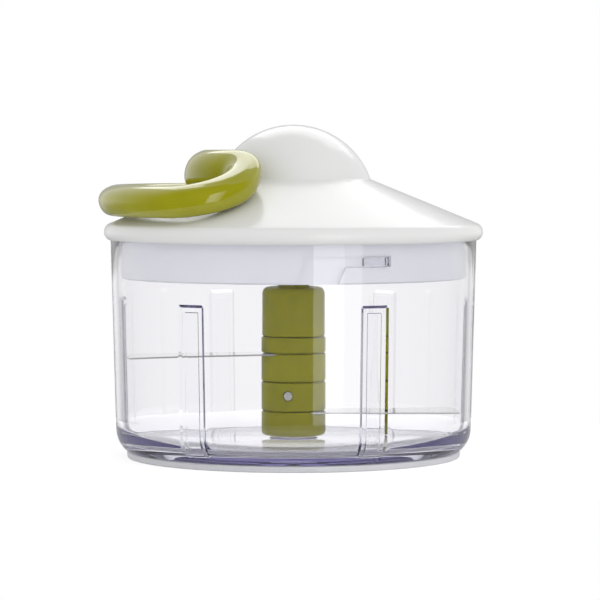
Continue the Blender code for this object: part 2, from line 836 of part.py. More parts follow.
# Bush and washer that carry the drive shaft.
def make_bush():
    inner = shaft_radius + gap
    outer = inner + bush_wall
    top = plate_top_z + gap + bush_flange_thickness
    low = plate_top_z - plate_thickness - bush_boss_drop
    outline = [(inner, top), (bush_flange_radius, top), (bush_flange_radius, plate_top_z + gap),
               (outer, plate_top_z + gap), (outer, low), (inner, low)]
    return settle(turned("shaft_bush", outline, small_steps, bush_plastic, ring=True))


def washer_z():
    return plate_top_z + gap + bush_flange_thickness + gap


def make_washer():
    low = washer_z()
    high = low + washer_thickness
    inner = shaft_radius + gap
    outline = [(inner, high), (washer_radius, high), (washer_radius, low), (inner, low)]
    return settle(turned("thrust_washer", outline, small_steps, steel, ring=True))


def arbor_z():
    return washer_z() + washer_thickness + gap


def case_top_z():
    return arbor_z() + arbor_height


def reel_z():
    return case_top_z() + gap + cover_thickness + gap


def cord_z():
    """Height at which the cord leaves the reel, level with the handle's inner bar."""
    return handle_point(handle_inner_radius).z


def reel_top_z():
    """Top of the reel's hub, under the boss of the dome."""
    upper_flange = cord_z() + cord_radius + gap + reel_flange_thickness
    return upper_flange + reel_flange_thickness


# Recoil spring: a flat spiral strip between the arbor and the wall of its case.
def make_spring():
    low = arbor_z() + (arbor_height - spring_height) / 2
    start = arbor_radius + gap + spring_strip
    end = case_radius - case_wall - gap - spring_strip
    count = spring_turns * spring_steps
    rim = []
    for k in range(count + 1):
        radius = start + (end - start) * k / count
        angle = 2 * pi * k / spring_steps
        rim.append((radius * cos(angle), radius * sin(angle)))
    verts = [(x, y, low) for x, y in rim] + [(x, y, low + spring_height) for x, y in rim]
    faces = [(k, k + 1, count + k + 2, count + k + 1) for k in range(count)]
    mesh = bpy.data.meshes.new("recoil_spring")
    mesh.from_pydata(verts, [], faces)
    spring = new_part("recoil_spring", mesh, steel)
    solid = spring.modifiers.new("strip", "SOLIDIFY")
    solid.thickness = spring_strip
    solid.offset = 0
    return settle(spring)


def make_spring_cover():
    low = case_top_z() + gap
    high = low + cover_thickness
    inner = arbor_radius + gap
    outline = [(inner, high), (case_radius, high), (case_radius, low), (inner, low)]
    return settle(turned("spring_cover", outline, hub_steps, bush_plastic, ring=True))


# Drive shaft: key, round shank, arbor for the spring and a hexagon for the reel.
def make_drive_shaft():
    arbor_low = arbor_z()
    arbor_high = case_top_z()
    hex_top = reel_z() + hex_height
    bore = axle_radius + gap
    bore_z = hex_top - axle_depth
    outline = [(0, arbor_high), (arbor_radius, arbor_high), (arbor_radius, arbor_low),
               (shaft_radius, arbor_low), (shaft_radius, shaft_end_z), (0, shaft_end_z)]
    shaft = turned("drive_shaft", outline, small_steps, hub_plastic)
    key = box_tool("key", (-key_length / 2, -key_thickness / 2, shaft_end_z - key_depth),
                   (key_length / 2, key_thickness / 2, shaft_end_z + overrun))
    combine(shaft, key, "UNION")
    combine(shaft, rod_tool("hexagon", hex_radius, (0, 0, arbor_high - overrun),
                            (0, 0, hex_top), 6), "UNION")
    combine(shaft, rod_tool("axle_bore", bore, (0, 0, bore_z), (0, 0, hex_top + overrun)),
            "DIFFERENCE")
    return settle(shaft)


# Reel: spool with two flanges, hollow below, with a hexagonal hub on the drive shaft.
def make_reel():
    low = reel_z()
    flange_low_top = cord_z() - cord_turns * cord_pitch - cord_radius - gap
    flange_high_low = cord_z() + cord_radius + gap
    flange_high_top = flange_high_low + reel_flange_thickness
    top = reel_top_z()
    hub = hex_radius + gap + reel_hub_wall
    axle_hole = axle_radius + gap
    web_low = reel_z() + hex_height + gap
    hollow_top = flange_high_low
    outline = [(axle_hole, top, 0), (hub, top, hub_edge_round), (hub, flange_high_top, 0),
               (reel_flange_radius, flange_high_top, 0), (reel_flange_radius, flange_high_low, 0),
               (reel_core_radius, flange_high_low, 0), (reel_core_radius, flange_low_top, 0),
               (reel_flange_radius, flange_low_top, 0), (reel_flange_radius, low, 0),
               (reel_hollow_radius, low, 0), (reel_hollow_radius, hollow_top, 0),
               (hub, hollow_top, 0), (hub, low, 0), (axle_hole, low, 0)]
    reel = turned("cord_reel", rounded(outline, ring=True, steps=1), hub_steps, reel_plastic,
                  ring=True)
    combine(reel, rod_tool("hex_bore", hex_radius + gap, (0, 0, low - overrun),
                           (0, 0, web_low), 6), "DIFFERENCE")
    return settle(reel)


def cord_leave():
    """The spool's radius to the cord's middle, and the angle at which the cord leaves it."""
    pitch_radius = reel_core_radius + gap + cord_radius
    return pitch_radius, pi + acos(pitch_radius / cord_bend_x())


def cord_bend_x():
    """Distance from the axis of the bend ahead of the guide."""
    return guide_mouth_x() - 2 * cord_radius - gap


def guide_mouth_x():
    """Distance of the guide's inner mouth from the axis."""
    return guide_seat_x() - guide_inner_reach


def guide_seat_x():
    """Radius of the dome's outer face at the height of the cord."""
    return sqrt(dome_radius ** 2 - (cord_z() - dome_centre_z) ** 2)


def make_winding():
    radius, leave = cord_leave()
    count = cord_turns * cord_steps
    points = []
    for k in range(count + 1):
        angle = leave + 2 * pi * k / cord_steps
        points.append((radius * cos(angle), radius * sin(angle),
                       cord_z() - cord_pitch * k / cord_steps))
    least = cord_pitch - 2 * cord_radius
    print("cord winding: least gap between turns", round(least * 1000, 3), "mm")
    return settle(tube("cord_winding", points, cord_radius, cord_fibre))


# Axle pin: steel pin from the dome's boss into the top of the drive shaft.
def make_axle_pin():
    low = reel_z() + hex_height - axle_depth + gap
    high = reel_top_z() + gap + axle_grip
    pin = rod_tool("axle_pin", axle_radius, (0, 0, low), (0, 0, high))
    return settle(as_part(pin, "axle_pin", steel))


# Cord guide: smooth liner in the hole of the dome.
def make_guide():
    inner = cord_radius + gap
    outer = inner + guide_wall
    low = guide_mouth_x()
    high = guide_seat_x() + guide_outer_reach
    outline = [(inner, high, guide_round), (outer, high, guide_round), (outer, low, guide_round),
               (inner, low, guide_round)]
    guide = turned("cord_guide", rounded(outline, ring=True, steps=2), small_steps, steel,
                   ring=True)
    settle(guide)
    guide.matrix_world = Matrix.Translation((0, 0, cord_z())) @ Matrix.Rotation(-pi / 2, 4, "Y")
    return guide


# Handle: a loft of rounded sections along a crescent that follows the lid's cone.
def outer_share(radius):
    """How far a radius lies on the way from the inner bar's middle line to the outer bar's."""
    way = (radius - handle_inner_radius) / (handle_outer_radius - handle_inner_radius)
    return min(1, max(0, way))


def mixed(first, second, share):
    return first + (second - first) * share


def handle_point(radius, angle=pi):
    """A point of the handle's middle line, which lifts off the cone towards the outer bar."""
    share = outer_share(radius)
    half_height = mixed(handle_inner_half_height, handle_outer_half_height, share)
    z = cone_z(radius) + (half_height + gap) / cos(cone_slope) + handle_lift * share ** 2
    return Vector((radius * cos(angle), radius * sin(angle), z))


def handle_line():
    """Middle line of the loop with the share of the outer facet at each point."""
    tip_radius = (handle_outer_radius - handle_inner_radius) / 2
    tip_middle = (handle_outer_radius + handle_inner_radius) / 2
    stations = []
    for k in range(handle_outer_steps):
        spread = handle_spread * (2 * k / handle_outer_steps - 1)
        facet_share = max(0, abs(spread) / handle_spread - bar_facet_start_share)
        stations.append((handle_outer_radius, pi + spread, facet_share))
    stations += tip_stations(tip_radius, tip_middle, 1)
    for k in range(handle_inner_steps):
        spread = handle_spread * (1 - 2 * k / handle_inner_steps)
        facet_share = max(0, abs(spread) / handle_spread - bar_facet_start_share)
        stations.append((handle_inner_radius, pi + spread, facet_share))
    stations += tip_stations(tip_radius, tip_middle, -1)
    return stations


def tip_stations(tip_radius, tip_middle, side):
    """The hairpin at one tip of the crescent, from the outer bar to the inner or back."""
    stations = []
    for k in range(handle_tip_steps):
        turn = pi * k / handle_tip_steps
        if side < 0:
            turn = pi - turn
        along = tip_middle + tip_radius * cos(turn)
        aside = side * tip_radius * sin(turn)
        radius = hypot(along, aside)
        angle = pi + side * handle_spread + atan2(aside, along)
        facet_share = tip_facet_share + (1 - tip_facet_share) * sin(turn)
        stations.append((radius, angle, facet_share))
    return stations


def handle_section(radius, facet_share):
    """Points (up, outwards) of the handle's section, from the crease of its facet on."""
    share = outer_share(radius)
    tip_share = 4 * share * (1 - share)
    half_height = mixed(handle_inner_half_height, handle_outer_half_height, share)
    half_width = handle_half_width + handle_tip_widening * tip_share
    power = mixed(handle_roundness, handle_tip_roundness, tip_share)
    crease = mixed(bar_crease, tip_crease, tip_share ** 2)
    half = (mixed(bar_facet_angle * facet_share, tip_facet_angle, tip_share)) / 2
    lean = handle_lean_share * (1 - share) ** 2

    def oval(turn):
        up = abs(cos(turn)) / half_height
        across = abs(sin(turn)) / half_width
        return (up ** power + across ** power) ** (-1 / power)

    points = []
    for k in range(handle_section_steps):
        turn = crease + 2 * pi * k / handle_section_steps
        if turn > pi:
            turn -= 2 * pi
        reach = oval(turn)
        off = turn - (crease - half)
        if abs(off) <= half + weld:
            reach = min(reach, oval(crease) * cos(half) / cos(off))
        up = reach * cos(turn)
        points.append((up, reach * sin(turn) + lean * up))
    return points


def make_handle():
    stations = handle_line()
    centres = [handle_point(radius, angle) for radius, angle, _ in stations]
    count = len(stations)
    sides = handle_section_steps
    verts = []
    for i, (radius, angle, facet_share) in enumerate(stations):
        ahead = (centres[(i + 1) % count] - centres[i - 1]).normalized()
        normal = Vector((sin(cone_slope) * cos(angle), sin(cone_slope) * sin(angle),
                         cos(cone_slope)))
        outward = ahead.cross(normal).normalized()
        normal = outward.cross(ahead).normalized()
        for up, out in handle_section(radius, facet_share):
            verts.append(centres[i] + normal * up + outward * out)
    faces = []
    for i in range(count):
        for k in range(sides):
            after = (i + 1) % count
            beside = (k + 1) % sides
            faces.append((i * sides + k, after * sides + k, after * sides + beside,
                          i * sides + beside))
    mesh = bpy.data.meshes.new("handle")
    mesh.from_pydata(verts, [], faces)
    handle = new_part("handle", mesh, olive_plastic)
    z = cord_z()
    inside = -handle_inner_radius + handle_half_width + overrun
    outside = -handle_inner_radius - handle_half_width - overrun
    pocket_x = -handle_inner_radius - handle_half_width + knot_pocket_depth
    combine(handle, rod_tool("cord_hole", cord_radius + gap, (inside, 0, z), (outside, 0, z),
                             small_steps), "DIFFERENCE")
    combine(handle, rod_tool("knot_pocket", knot_radius + gap, (pocket_x, 0, z),
                             (outside, 0, z), small_steps), "DIFFERENCE")
    return settle(handle)


# Cord knot: the cord's end, pulled into the handle's pocket.
def make_knot():
    bottom = -handle_inner_radius - handle_half_width + knot_pocket_depth - gap
    corner = knot_radius * knot_round_share
    outline = [(0, knot_radius, 0), (knot_radius, knot_radius, corner),
               (knot_radius, -knot_radius, corner), (0, -knot_radius, 0)]
    knot = turned("cord_knot", rounded(outline), pin_steps, cord_fibre)
    settle(knot)
    knot.matrix_world = Matrix.Translation((bottom - knot_radius, 0, cord_z())) \
        @ Matrix.Rotation(-pi / 2, 4, "Y")
    return knot


# Pull cord: from the spool through the guide to the handle's pocket.
def make_pull_cord():
    radius, leave = cord_leave()
    z = cord_z()
    start = Vector((radius * cos(leave), radius * sin(leave), z))
    bend = Vector((-cord_bend_x(), 0, z))
    end_x = -handle_inner_radius - handle_half_width + knot_pocket_depth
    away = (bend - start).normalized()
    start += away * (cord_radius + gap)
    inner = bend - away * cord_radius * 2
    outer = bend + Vector((-cord_radius * 2, 0, 0))
    points = [start, inner]
    bend_share = (0.25, 0.5, 0.75)
    for share in bend_share:
        first = inner.lerp(bend, share)
        second = bend.lerp(outer, share)
        points.append(first.lerp(second, share))
    points += [outer, Vector((end_x, 0, z))]
    return settle(tube("pull_cord", points, cord_radius, cord_fibre))


make_bowl()
make_foot_ring()
make_pivot_pin()
make_hub()
make_hub_cap()
make_spindle()
make_cross_pin()
make_blade("lower_blade", lower_blade_z, 0, 0)
make_blade("upper_blade", upper_blade_z, pi, upper_blade_droop)
make_lid_shell()
make_lid_base()
make_seal_ring()
make_lid_screws()
make_bush()
make_washer()
make_spring()
make_spring_cover()
make_drive_shaft()
make_reel()
make_winding()
make_axle_pin()
make_guide()
make_handle()
make_knot()
make_pull_cord()
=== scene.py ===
from math import acos, asin, atan2, cos, hypot, pi, radians, sin, sqrt, tan

import bmesh
import bpy
from mathutils import Matrix, Vector


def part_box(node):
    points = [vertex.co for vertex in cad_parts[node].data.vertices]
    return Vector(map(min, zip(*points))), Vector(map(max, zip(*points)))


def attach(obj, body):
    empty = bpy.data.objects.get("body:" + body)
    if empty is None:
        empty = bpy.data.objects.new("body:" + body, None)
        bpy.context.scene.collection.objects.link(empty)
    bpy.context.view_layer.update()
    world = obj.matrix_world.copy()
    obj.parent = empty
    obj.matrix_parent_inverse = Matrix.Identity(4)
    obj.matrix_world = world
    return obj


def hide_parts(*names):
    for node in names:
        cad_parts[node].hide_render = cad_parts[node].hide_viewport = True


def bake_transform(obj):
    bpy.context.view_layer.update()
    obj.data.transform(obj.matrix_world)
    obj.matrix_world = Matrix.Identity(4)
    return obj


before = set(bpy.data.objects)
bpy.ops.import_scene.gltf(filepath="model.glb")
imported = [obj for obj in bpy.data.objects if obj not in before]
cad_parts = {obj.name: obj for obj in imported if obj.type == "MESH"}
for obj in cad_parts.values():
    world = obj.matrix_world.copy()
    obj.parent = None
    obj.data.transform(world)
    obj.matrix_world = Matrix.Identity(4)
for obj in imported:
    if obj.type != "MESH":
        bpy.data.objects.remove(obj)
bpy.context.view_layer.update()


# Camera: a long lens a little over a metre in front of the chopper, at the height of its
# dome and tilted down to the bowl, so that the rims show as thin ellipses.
camera_lens = 182.7
camera_distance = 1.157
camera_height = 0.116
camera_side = 0.00247
camera_tilt = radians(2.8)

camera_data = bpy.data.cameras.new("camera")
camera_data.lens = camera_lens
camera_data.clip_start = 0.05
camera_data.clip_end = 20
camera = bpy.data.objects.new("camera", camera_data)
bpy.context.scene.collection.objects.link(camera)
camera.location = (camera_side, -camera_distance, camera_height)
camera.rotation_euler = (pi / 2 - camera_tilt, 0, 0)
bpy.context.scene.camera = camera


# Bowl: injection moulded in clear styrene, 2.4 mm thick, with six ribs down its inner wall
# that hold the food against the blades, three lock lugs under the rim and a boss in its
# floor. The clear walls take up a lavender tint where the eye looks along them.
bowl_rim_z = 0.083
bowl_rim_radius = 0.0694
bowl_corner_z = 0.011
bowl_corner_radius = 0.0675
bowl_corner_round = 0.0107
bowl_wall = 0.0024
bowl_floor_z = 0.0064
bowl_floor_thickness = 0.0028
bowl_floor_round = 0.006
bowl_rim_round = 0.0007
bowl_draft = (bowl_rim_radius - bowl_corner_radius) / (bowl_rim_z - bowl_corner_z)
rib_angles = [radians(-33.7 + 60 * i) for i in range(6)]
rib_top_z = 0.0604
rib_middle_z = 0.04
rib_base_half = 0.00565
rib_corner_round = 0.0012
rib_ledge = 0.0011
rib_bevel_end = 0.0027
rib_step_end = 0.0030
rib_bevel_rise = 0.00012
rib_depth = 0.0015
rib_edge_round = 0.0001
lug_angles = [radians(26.3 + 120 * i) for i in range(3)]
lug_half_angle = radians(4)
lug_z = 0.076
lug_half_height = 0.0015
lug_depth = 0.0025
lug_edge_round = 0.00012
pin_hole_radius = 0.0019
boss_radius = 0.0092
boss_taper = 0.0003
boss_top_z = 0.0071
boss_foot_edge = 0.0002
pin_hole_edge = 0.0001
floor_ring_radii = (0.02, 0.04)
recess_ring_radii = (0.03, 0.01)
inner_wall_rows = (0.015, 0.022, 0.032, 0.042, 0.05, 0.055)
upper_wall_rows = (0.065, 0.071)
under_rim_row = 0.08
outer_wall_rows = (0.065, 0.047, 0.029)
bowl_columns = 120
least_column_turn = radians(0.04)
foot_top_z = 0.0022
tongue_top_z = 0.0037
tongue_outer_radius = 0.05805
tongue_inner_radius = 0.05605
foot_inner_radius = 0.0508
gap = 0.0003


def smooth_ramp(value, low, high, low_soft, high_soft):
    """Goes from 0 at low to 1 at high, with each corner eased over a width of its own."""
    def ease(t, soft):
        if t <= -soft:
            return 0.0
        if t >= soft:
            return t
        return (t + soft) ** 2 / (4 * soft)
    span = high - low
    return (ease(value - low, low_soft) - ease(value - high, high_soft)) / span


def angle_between(a, b):
    """The smallest turn from one angle to another."""
    return (a - b + pi) % (2 * pi) - pi


def bowl_inner_radius(z):
    """Radius of the wall's inner side at a height, without ribs and lugs."""
    return bowl_corner_radius - bowl_wall + bowl_draft * (z - bowl_corner_z)


def rib_reach(angle, z):
    """How far a rib stands in from the wall: a steep ledge along its outline, a nearly flat
    bevel and a small step up to its face."""
    across = min(abs(angle_between(angle, a)) for a in rib_angles) * bowl_inner_radius(z)
    beside = rib_base_half - across
    below = rib_top_z - z
    inset = min(beside, below)
    if max(beside, below) < rib_corner_round:
        inset = rib_corner_round - hypot(rib_corner_round - beside, rib_corner_round - below)
    soft = rib_edge_round
    step_rise = rib_depth - rib_ledge - rib_bevel_rise
    return (rib_ledge * smooth_ramp(inset, 0, rib_ledge, soft, soft)
            + rib_bevel_rise * smooth_ramp(inset, rib_ledge, rib_bevel_end, soft, soft)
            + step_rise * smooth_ramp(inset, rib_bevel_end, rib_step_end, soft, soft))


def lug_reach(angle, z):
    """How far a lock lug stands in from the wall."""
    across = min(abs(angle_between(angle, a)) for a in lug_angles) * bowl_inner_radius(z)
    half = lug_half_angle * bowl_inner_radius(z)
    side = 1 - smooth_ramp(across, half - lug_edge_round, half + lug_edge_round, lug_edge_round,
                           lug_edge_round)
    up = 1 - smooth_ramp(abs(z - lug_z), lug_half_height - lug_edge_round,
                         lug_half_height + lug_edge_round, lug_edge_round, lug_edge_round)
    return lug_depth * min(side, up)


def arc(radius, start, end, steps, centre=(0, 0)):
    """Points along an arc, ends included."""
    angles = [start + (end - start) * k / steps for k in range(steps + 1)]
    return [(centre[0] + radius * cos(a), centre[1] + radius * sin(a)) for a in angles]


rib_insets = [0.3 * rib_ledge, 0.6 * rib_ledge]
for inset in (0, rib_ledge, rib_bevel_end, rib_step_end):
    rib_insets += [inset + rib_edge_round * step for step in (-1, -0.35, 0.35, 1)]
bowl_wall_heights = list(inner_wall_rows)
bowl_wall_heights += sorted(rib_top_z - inset for inset in rib_insets)
bowl_wall_heights += upper_wall_rows
for height in (lug_z - lug_half_height, lug_z + lug_half_height):
    bowl_wall_heights += [height - 2 * lug_edge_round, height - lug_edge_round / 2,
                          height + lug_edge_round / 2, height + 2 * lug_edge_round]
bowl_wall_heights.append(under_rim_row)


def bowl_profile(angle):
    """The bowl's cut at one angle: up its inner side, over the rim and down its outer side."""
    hole_z = bowl_floor_z - bowl_floor_thickness / 2
    points = [(0, hole_z), (pin_hole_radius, hole_z),
              (pin_hole_radius, boss_top_z - pin_hole_edge),
              (pin_hole_radius + pin_hole_edge, boss_top_z),
              (boss_radius - 2 * boss_taper, boss_top_z)]
    points += arc(boss_taper, pi / 2, 0, 4,
                  (boss_radius - 2 * boss_taper, boss_top_z - boss_taper))[1:]
    points += [(boss_radius, bowl_floor_z + boss_foot_edge),
               (boss_radius + boss_foot_edge, bowl_floor_z)]
    points += [(radius, bowl_floor_z) for radius in floor_ring_radii]
    fillet_z = bowl_floor_z + bowl_floor_round
    fillet_radius = bowl_inner_radius(fillet_z) - rib_reach(angle, fillet_z) - bowl_floor_round
    points += arc(bowl_floor_round, -pi / 2, 0, 8, (fillet_radius, fillet_z))
    for z in bowl_wall_heights:
        reach = max(rib_reach(angle, z), lug_reach(angle, z))
        points.append((bowl_inner_radius(z) - reach, z))
    rim = bowl_rim_z - bowl_rim_round
    points += arc(bowl_rim_round, pi, pi / 2, 4,
                  (bowl_rim_radius - bowl_wall + bowl_rim_round, rim))
    points += arc(bowl_rim_round, pi / 2, 0, 4, (bowl_rim_radius - bowl_rim_round, rim))
    for z in outer_wall_rows:
        points.append((bowl_corner_radius + bowl_draft * (z - bowl_corner_z), z))
    under = foot_top_z + gap
    drop = min(1, (bowl_corner_z - under) / bowl_corner_round)
    points += arc(bowl_corner_round, 0, -asin(drop), 10,
                  (bowl_corner_radius - bowl_corner_round, bowl_corner_z))
    groove_z = tongue_top_z + gap
    recess_z = bowl_floor_z - bowl_floor_thickness
    points += [(tongue_outer_radius + gap, under), (tongue_outer_radius + gap, groove_z),
               (tongue_inner_radius - gap, groove_z), (tongue_inner_radius - gap, under),
               (foot_inner_radius, under), (foot_inner_radius - gap, recess_z)]
    points += [(radius, recess_z) for radius in recess_ring_radii]
    points.append((0, recess_z))
    return points


smooth_limit = radians(32)


def place_object(name, data):
    item = bpy.data.objects.new(name, data)
    bpy.context.scene.collection.objects.link(item)
    return item


def revolve(name, profile_at, angles, closed=False, crease=smooth_limit):
    """A mesh from the profiles at a row of angles, measured from the front towards +X. An
    open profile starts and ends on the axis, and a closed one is a ring."""
    profiles = [profile_at(a) for a in angles]
    work = bmesh.new()
    columns = []
    poles = {}
    for a, profile in zip(angles, profiles):
        column = []
        for j, (radius, z) in enumerate(profile):
            if radius == 0:
                if j not in poles:
                    poles[j] = work.verts.new((0, 0, z))
                column.append(poles[j])
            else:
                column.append(work.verts.new((radius * sin(a), -radius * cos(a), z)))
        columns.append(column)
    rows = len(profiles[0])
    for i, column in enumerate(columns):
        beside = columns[(i + 1) % len(columns)]
        for j in range(rows if closed else rows - 1):
            k = (j + 1) % rows
            corners = [column[j], beside[j], beside[k], column[k]]
            ring = [c for n, c in enumerate(corners) if c not in corners[:n]]
            if len(ring) > 2:
                work.faces.new(ring)
    bmesh.ops.recalc_face_normals(work, faces=work.faces)
    mesh = bpy.data.meshes.new(name)
    work.to_mesh(mesh)
    work.free()
    mesh.shade_smooth()
    mesh.set_sharp_from_angle(angle=crease)
    return place_object(name, mesh)


bowl_angles = [2 * pi * i / bowl_columns for i in range(bowl_columns)]
for middle in rib_angles:
    for inset in rib_insets:
        turn = (rib_base_half - inset) / bowl_inner_radius(rib_middle_z)
        bowl_angles += [middle - turn, middle + turn]
for middle in lug_angles:
    for step in (-2, -0.5, 0.5, 2):
        turn = lug_half_angle + step * lug_edge_round / bowl_inner_radius(lug_z)
        bowl_angles += [middle - turn, middle + turn]
bowl_angles = sorted(a % (2 * pi) for a in bowl_angles)
kept_angles = [bowl_angles[0]]
for angle in bowl_angles[1:]:
    if angle - kept_angles[-1] > least_column_turn:
        kept_angles.append(angle)
clear_bowl = revolve("clear_bowl", bowl_profile, kept_angles, crease=radians(40))


def linear(code):
    """The linear colour of an sRGB hex code, with a full alpha."""
    parts = [int(code[i:i + 2], 16) / 255 for i in (1, 3, 5)]
    return tuple(c / 12.92 if c <= 0.04045 else ((c + 0.055) / 1.055) ** 2.4 for c in parts) + (1,)


def add_node(tree, kind, settings=None, links=None):
    """Adds a node, sets its inputs and its own fields, and joins inputs to other outputs."""
    node = tree.nodes.new(kind)
    for name, value in (settings or {}).items():
        if isinstance(name, int) or name in node.inputs:
            node.inputs[name].default_value = value
        else:
            setattr(node, name, value)
    for name, source in (links or {}).items():
        tree.links.new(source, node.inputs[name])
    return node


def new_material(name, inputs):
    """A material with a Principled shader whose constants stand on its own sockets."""
    material = bpy.data.materials.new(name)
    material.use_nodes = True
    shader = material.node_tree.nodes["Principled BSDF"]
    for socket, value in inputs.items():
        shader.inputs[socket].default_value = value
    return material, material.node_tree, shader


def wear(piece, material):
    piece.data.materials.clear()
    piece.data.materials.append(material)


# Clear styrene, polished mould: mirror-smooth, so the walls show sharp reflections. It is
# faintly wavy where the melt flowed, and wipe marks soften the gloss in patches.
flow_length = 0.0125
wipe_mark_width = 0.00385
styrene, tree, shader = new_material("clear_moulded_styrene", {
    "Base Color": linear("#ffffff"), "IOR": 1.5, "Roughness": 0.02,
    "Transmission Weight": 1.0})
place = add_node(tree, "ShaderNodeTexCoord").outputs["Object"]
flow = add_node(tree, "ShaderNodeTexNoise", {"Scale": 1 / flow_length, "Detail": 1.0},
                {"Vector": place})
marks = add_node(tree, "ShaderNodeTexNoise", {"Scale": 1 / wipe_mark_width, "Detail": 3.0},
                 {"Vector": place})
rough = add_node(tree, "ShaderNodeMapRange", {"From Min": 0.45, "From Max": 0.75, "To Min": 0.01,
                                              "To Max": 0.05}, {"Value": marks.outputs["Fac"]})
relief = add_node(tree, "ShaderNodeBump", {"Strength": 0.05, "Distance": 0.0002},
                  {"Height": flow.outputs["Fac"]})
tree.links.new(rough.outputs["Result"], shader.inputs["Roughness"])
tree.links.new(relief.outputs["Normal"], shader.inputs["Normal"])
tint = add_node(tree, "ShaderNodeVolumeAbsorption", {"Color": (0.30, 0.265, 0.56, 1),
                                                     "Density": 20.0})
tree.links.new(tint.outputs["Volume"], tree.nodes["Material Output"].inputs["Volume"])
wear(clear_bowl, styrene)
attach(clear_bowl, "bowl")
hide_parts("bowl")


# Foot ring: soft milky rubber ring, pressed with its tongue into a groove under the bowl,
# so that the bowl doesn't slip. Light passes some way into it, which makes it whitish.
foot_radius = 0.0633
foot_edge_round = 0.0006
foot_top_round = 0.0002
round_columns = 144


def foot_profile(angle):
    """The ring's cut, the same at every angle: its tongue, outer side, sole and inner side."""
    low = foot_edge_round
    points = [(tongue_inner_radius, tongue_top_z), (tongue_outer_radius, tongue_top_z),
              (tongue_outer_radius, foot_top_z)]
    points += arc(foot_top_round, pi / 2, 0, 3,
                  (foot_radius - foot_top_round, foot_top_z - foot_top_round))
    points += arc(low, 0, -pi / 2, 5, (foot_radius - low, low))
    points += arc(low, -pi / 2, -pi, 5, (foot_inner_radius + low, low))
    points += [(foot_inner_radius, foot_top_z), (tongue_inner_radius, foot_top_z)]
    return points


round_angles = [2 * pi * i / round_columns for i in range(round_columns)]
foot_band = revolve("foot_band", foot_profile, round_angles, closed=True)
# Milky thermoplastic rubber, moulded satin: whitish with faint clouds and a soft gloss.
cloud_width = 0.00667
soft_rubber, tree, shader = new_material("milky_soft_rubber", {
    "Base Color": linear("#e9e9ee"), "IOR": 1.43, "Roughness": 0.38,
    "Transmission Weight": 0.05})
place = add_node(tree, "ShaderNodeTexCoord").outputs["Object"]
cloud = add_node(tree, "ShaderNodeTexNoise", {"Scale": 1 / cloud_width, "Detail": 4.0},
                 {"Vector": place})
colour = add_node(tree, "ShaderNodeValToRGB", {}, {"Fac": cloud.outputs["Fac"]})
colour.color_ramp.elements[0].color = linear("#ebebf0")
colour.color_ramp.elements[1].color = linear("#f4f4f7")
skin = add_node(tree, "ShaderNodeBump", {"Strength": 0.15, "Distance": 0.0001},
                {"Height": cloud.outputs["Fac"]})
tree.links.new(colour.outputs["Color"], shader.inputs["Base Color"])
tree.links.new(skin.outputs["Normal"], shader.inputs["Normal"])
wear(foot_band, soft_rubber)
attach(foot_band, "bowl")
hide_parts("foot_ring")


# Pivot pin: ground stainless pin, moulded into the floor's boss. The blade unit stands and
# turns on it. The hub's cross pin, its spindle and the cord guide are of the same steel.
weld_distance = 0.00001


def weld_and_smooth():
    """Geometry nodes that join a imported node's loose faces and shade its rounds smooth."""
    group = bpy.data.node_groups.new("weld_and_smooth", "GeometryNodeTree")
    group.interface.new_socket("Geometry", in_out="INPUT", socket_type="NodeSocketGeometry")
    group.interface.new_socket("Geometry", in_out="OUTPUT", socket_type="NodeSocketGeometry")
    start = add_node(group, "NodeGroupInput")
    bare = add_node(group, "GeometryNodeRemoveAttribute", {"Name": "custom_normal"},
                    {"Geometry": start.outputs[0]})
    welded = add_node(group, "GeometryNodeMergeByDistance", {"Distance": weld_distance},
                      {"Geometry": bare.outputs[0]})
    faces = add_node(group, "GeometryNodeSetShadeSmooth", {"domain": "FACE"},
                     {"Geometry": welded.outputs[0]})
    bend = add_node(group, "GeometryNodeInputMeshEdgeAngle")
    sharp = add_node(group, "FunctionNodeCompare", {"operation": "GREATER_THAN", 1: smooth_limit},
                     {0: bend.outputs["Unsigned Angle"]})
    edges = add_node(group, "GeometryNodeSetShadeSmooth",
                     {"domain": "EDGE", "Shade Smooth": False},
                     {"Geometry": faces.outputs[0], "Selection": sharp.outputs[0]})
    end = add_node(group, "NodeGroupOutput")
    group.links.new(edges.outputs[0], end.inputs[0])
    return group


shading_group = weld_and_smooth()


def dress(material, *names):
    """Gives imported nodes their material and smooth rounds."""
    for name in names:
        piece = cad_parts[name]
        wear(piece, material)
        smooth = piece.modifiers.new("weld_and_smooth", "NODES")
        smooth.node_group = shading_group


# Stainless steel, centreless ground: a grey metal whose gloss varies from patch to patch.
grinding_width = 0.00111
pin_steel, tree, shader = new_material("ground_stainless_steel", {
    "Base Color": linear("#c9c9c7"), "Metallic": 1.0, "Roughness": 0.22})
place = add_node(tree, "ShaderNodeTexCoord").outputs["Object"]
lines = add_node(tree, "ShaderNodeTexNoise", {"Scale": 1 / grinding_width, "Detail": 2.0},
                 {"Vector": place})
rough = add_node(tree, "ShaderNodeMapRange", {"To Min": 0.16, "To Max": 0.32},
                 {"Value": lines.outputs["Fac"]})
tree.links.new(rough.outputs["Result"], shader.inputs["Roughness"])
dress(pin_steel, "pivot_pin", "cross_pin", "spindle")


# Hub: five olive ABS mouldings stacked on the spindle, which clamp the blades between them.
# The drive shaft in the lid, which reaches down into the cap, is of the same plastic.

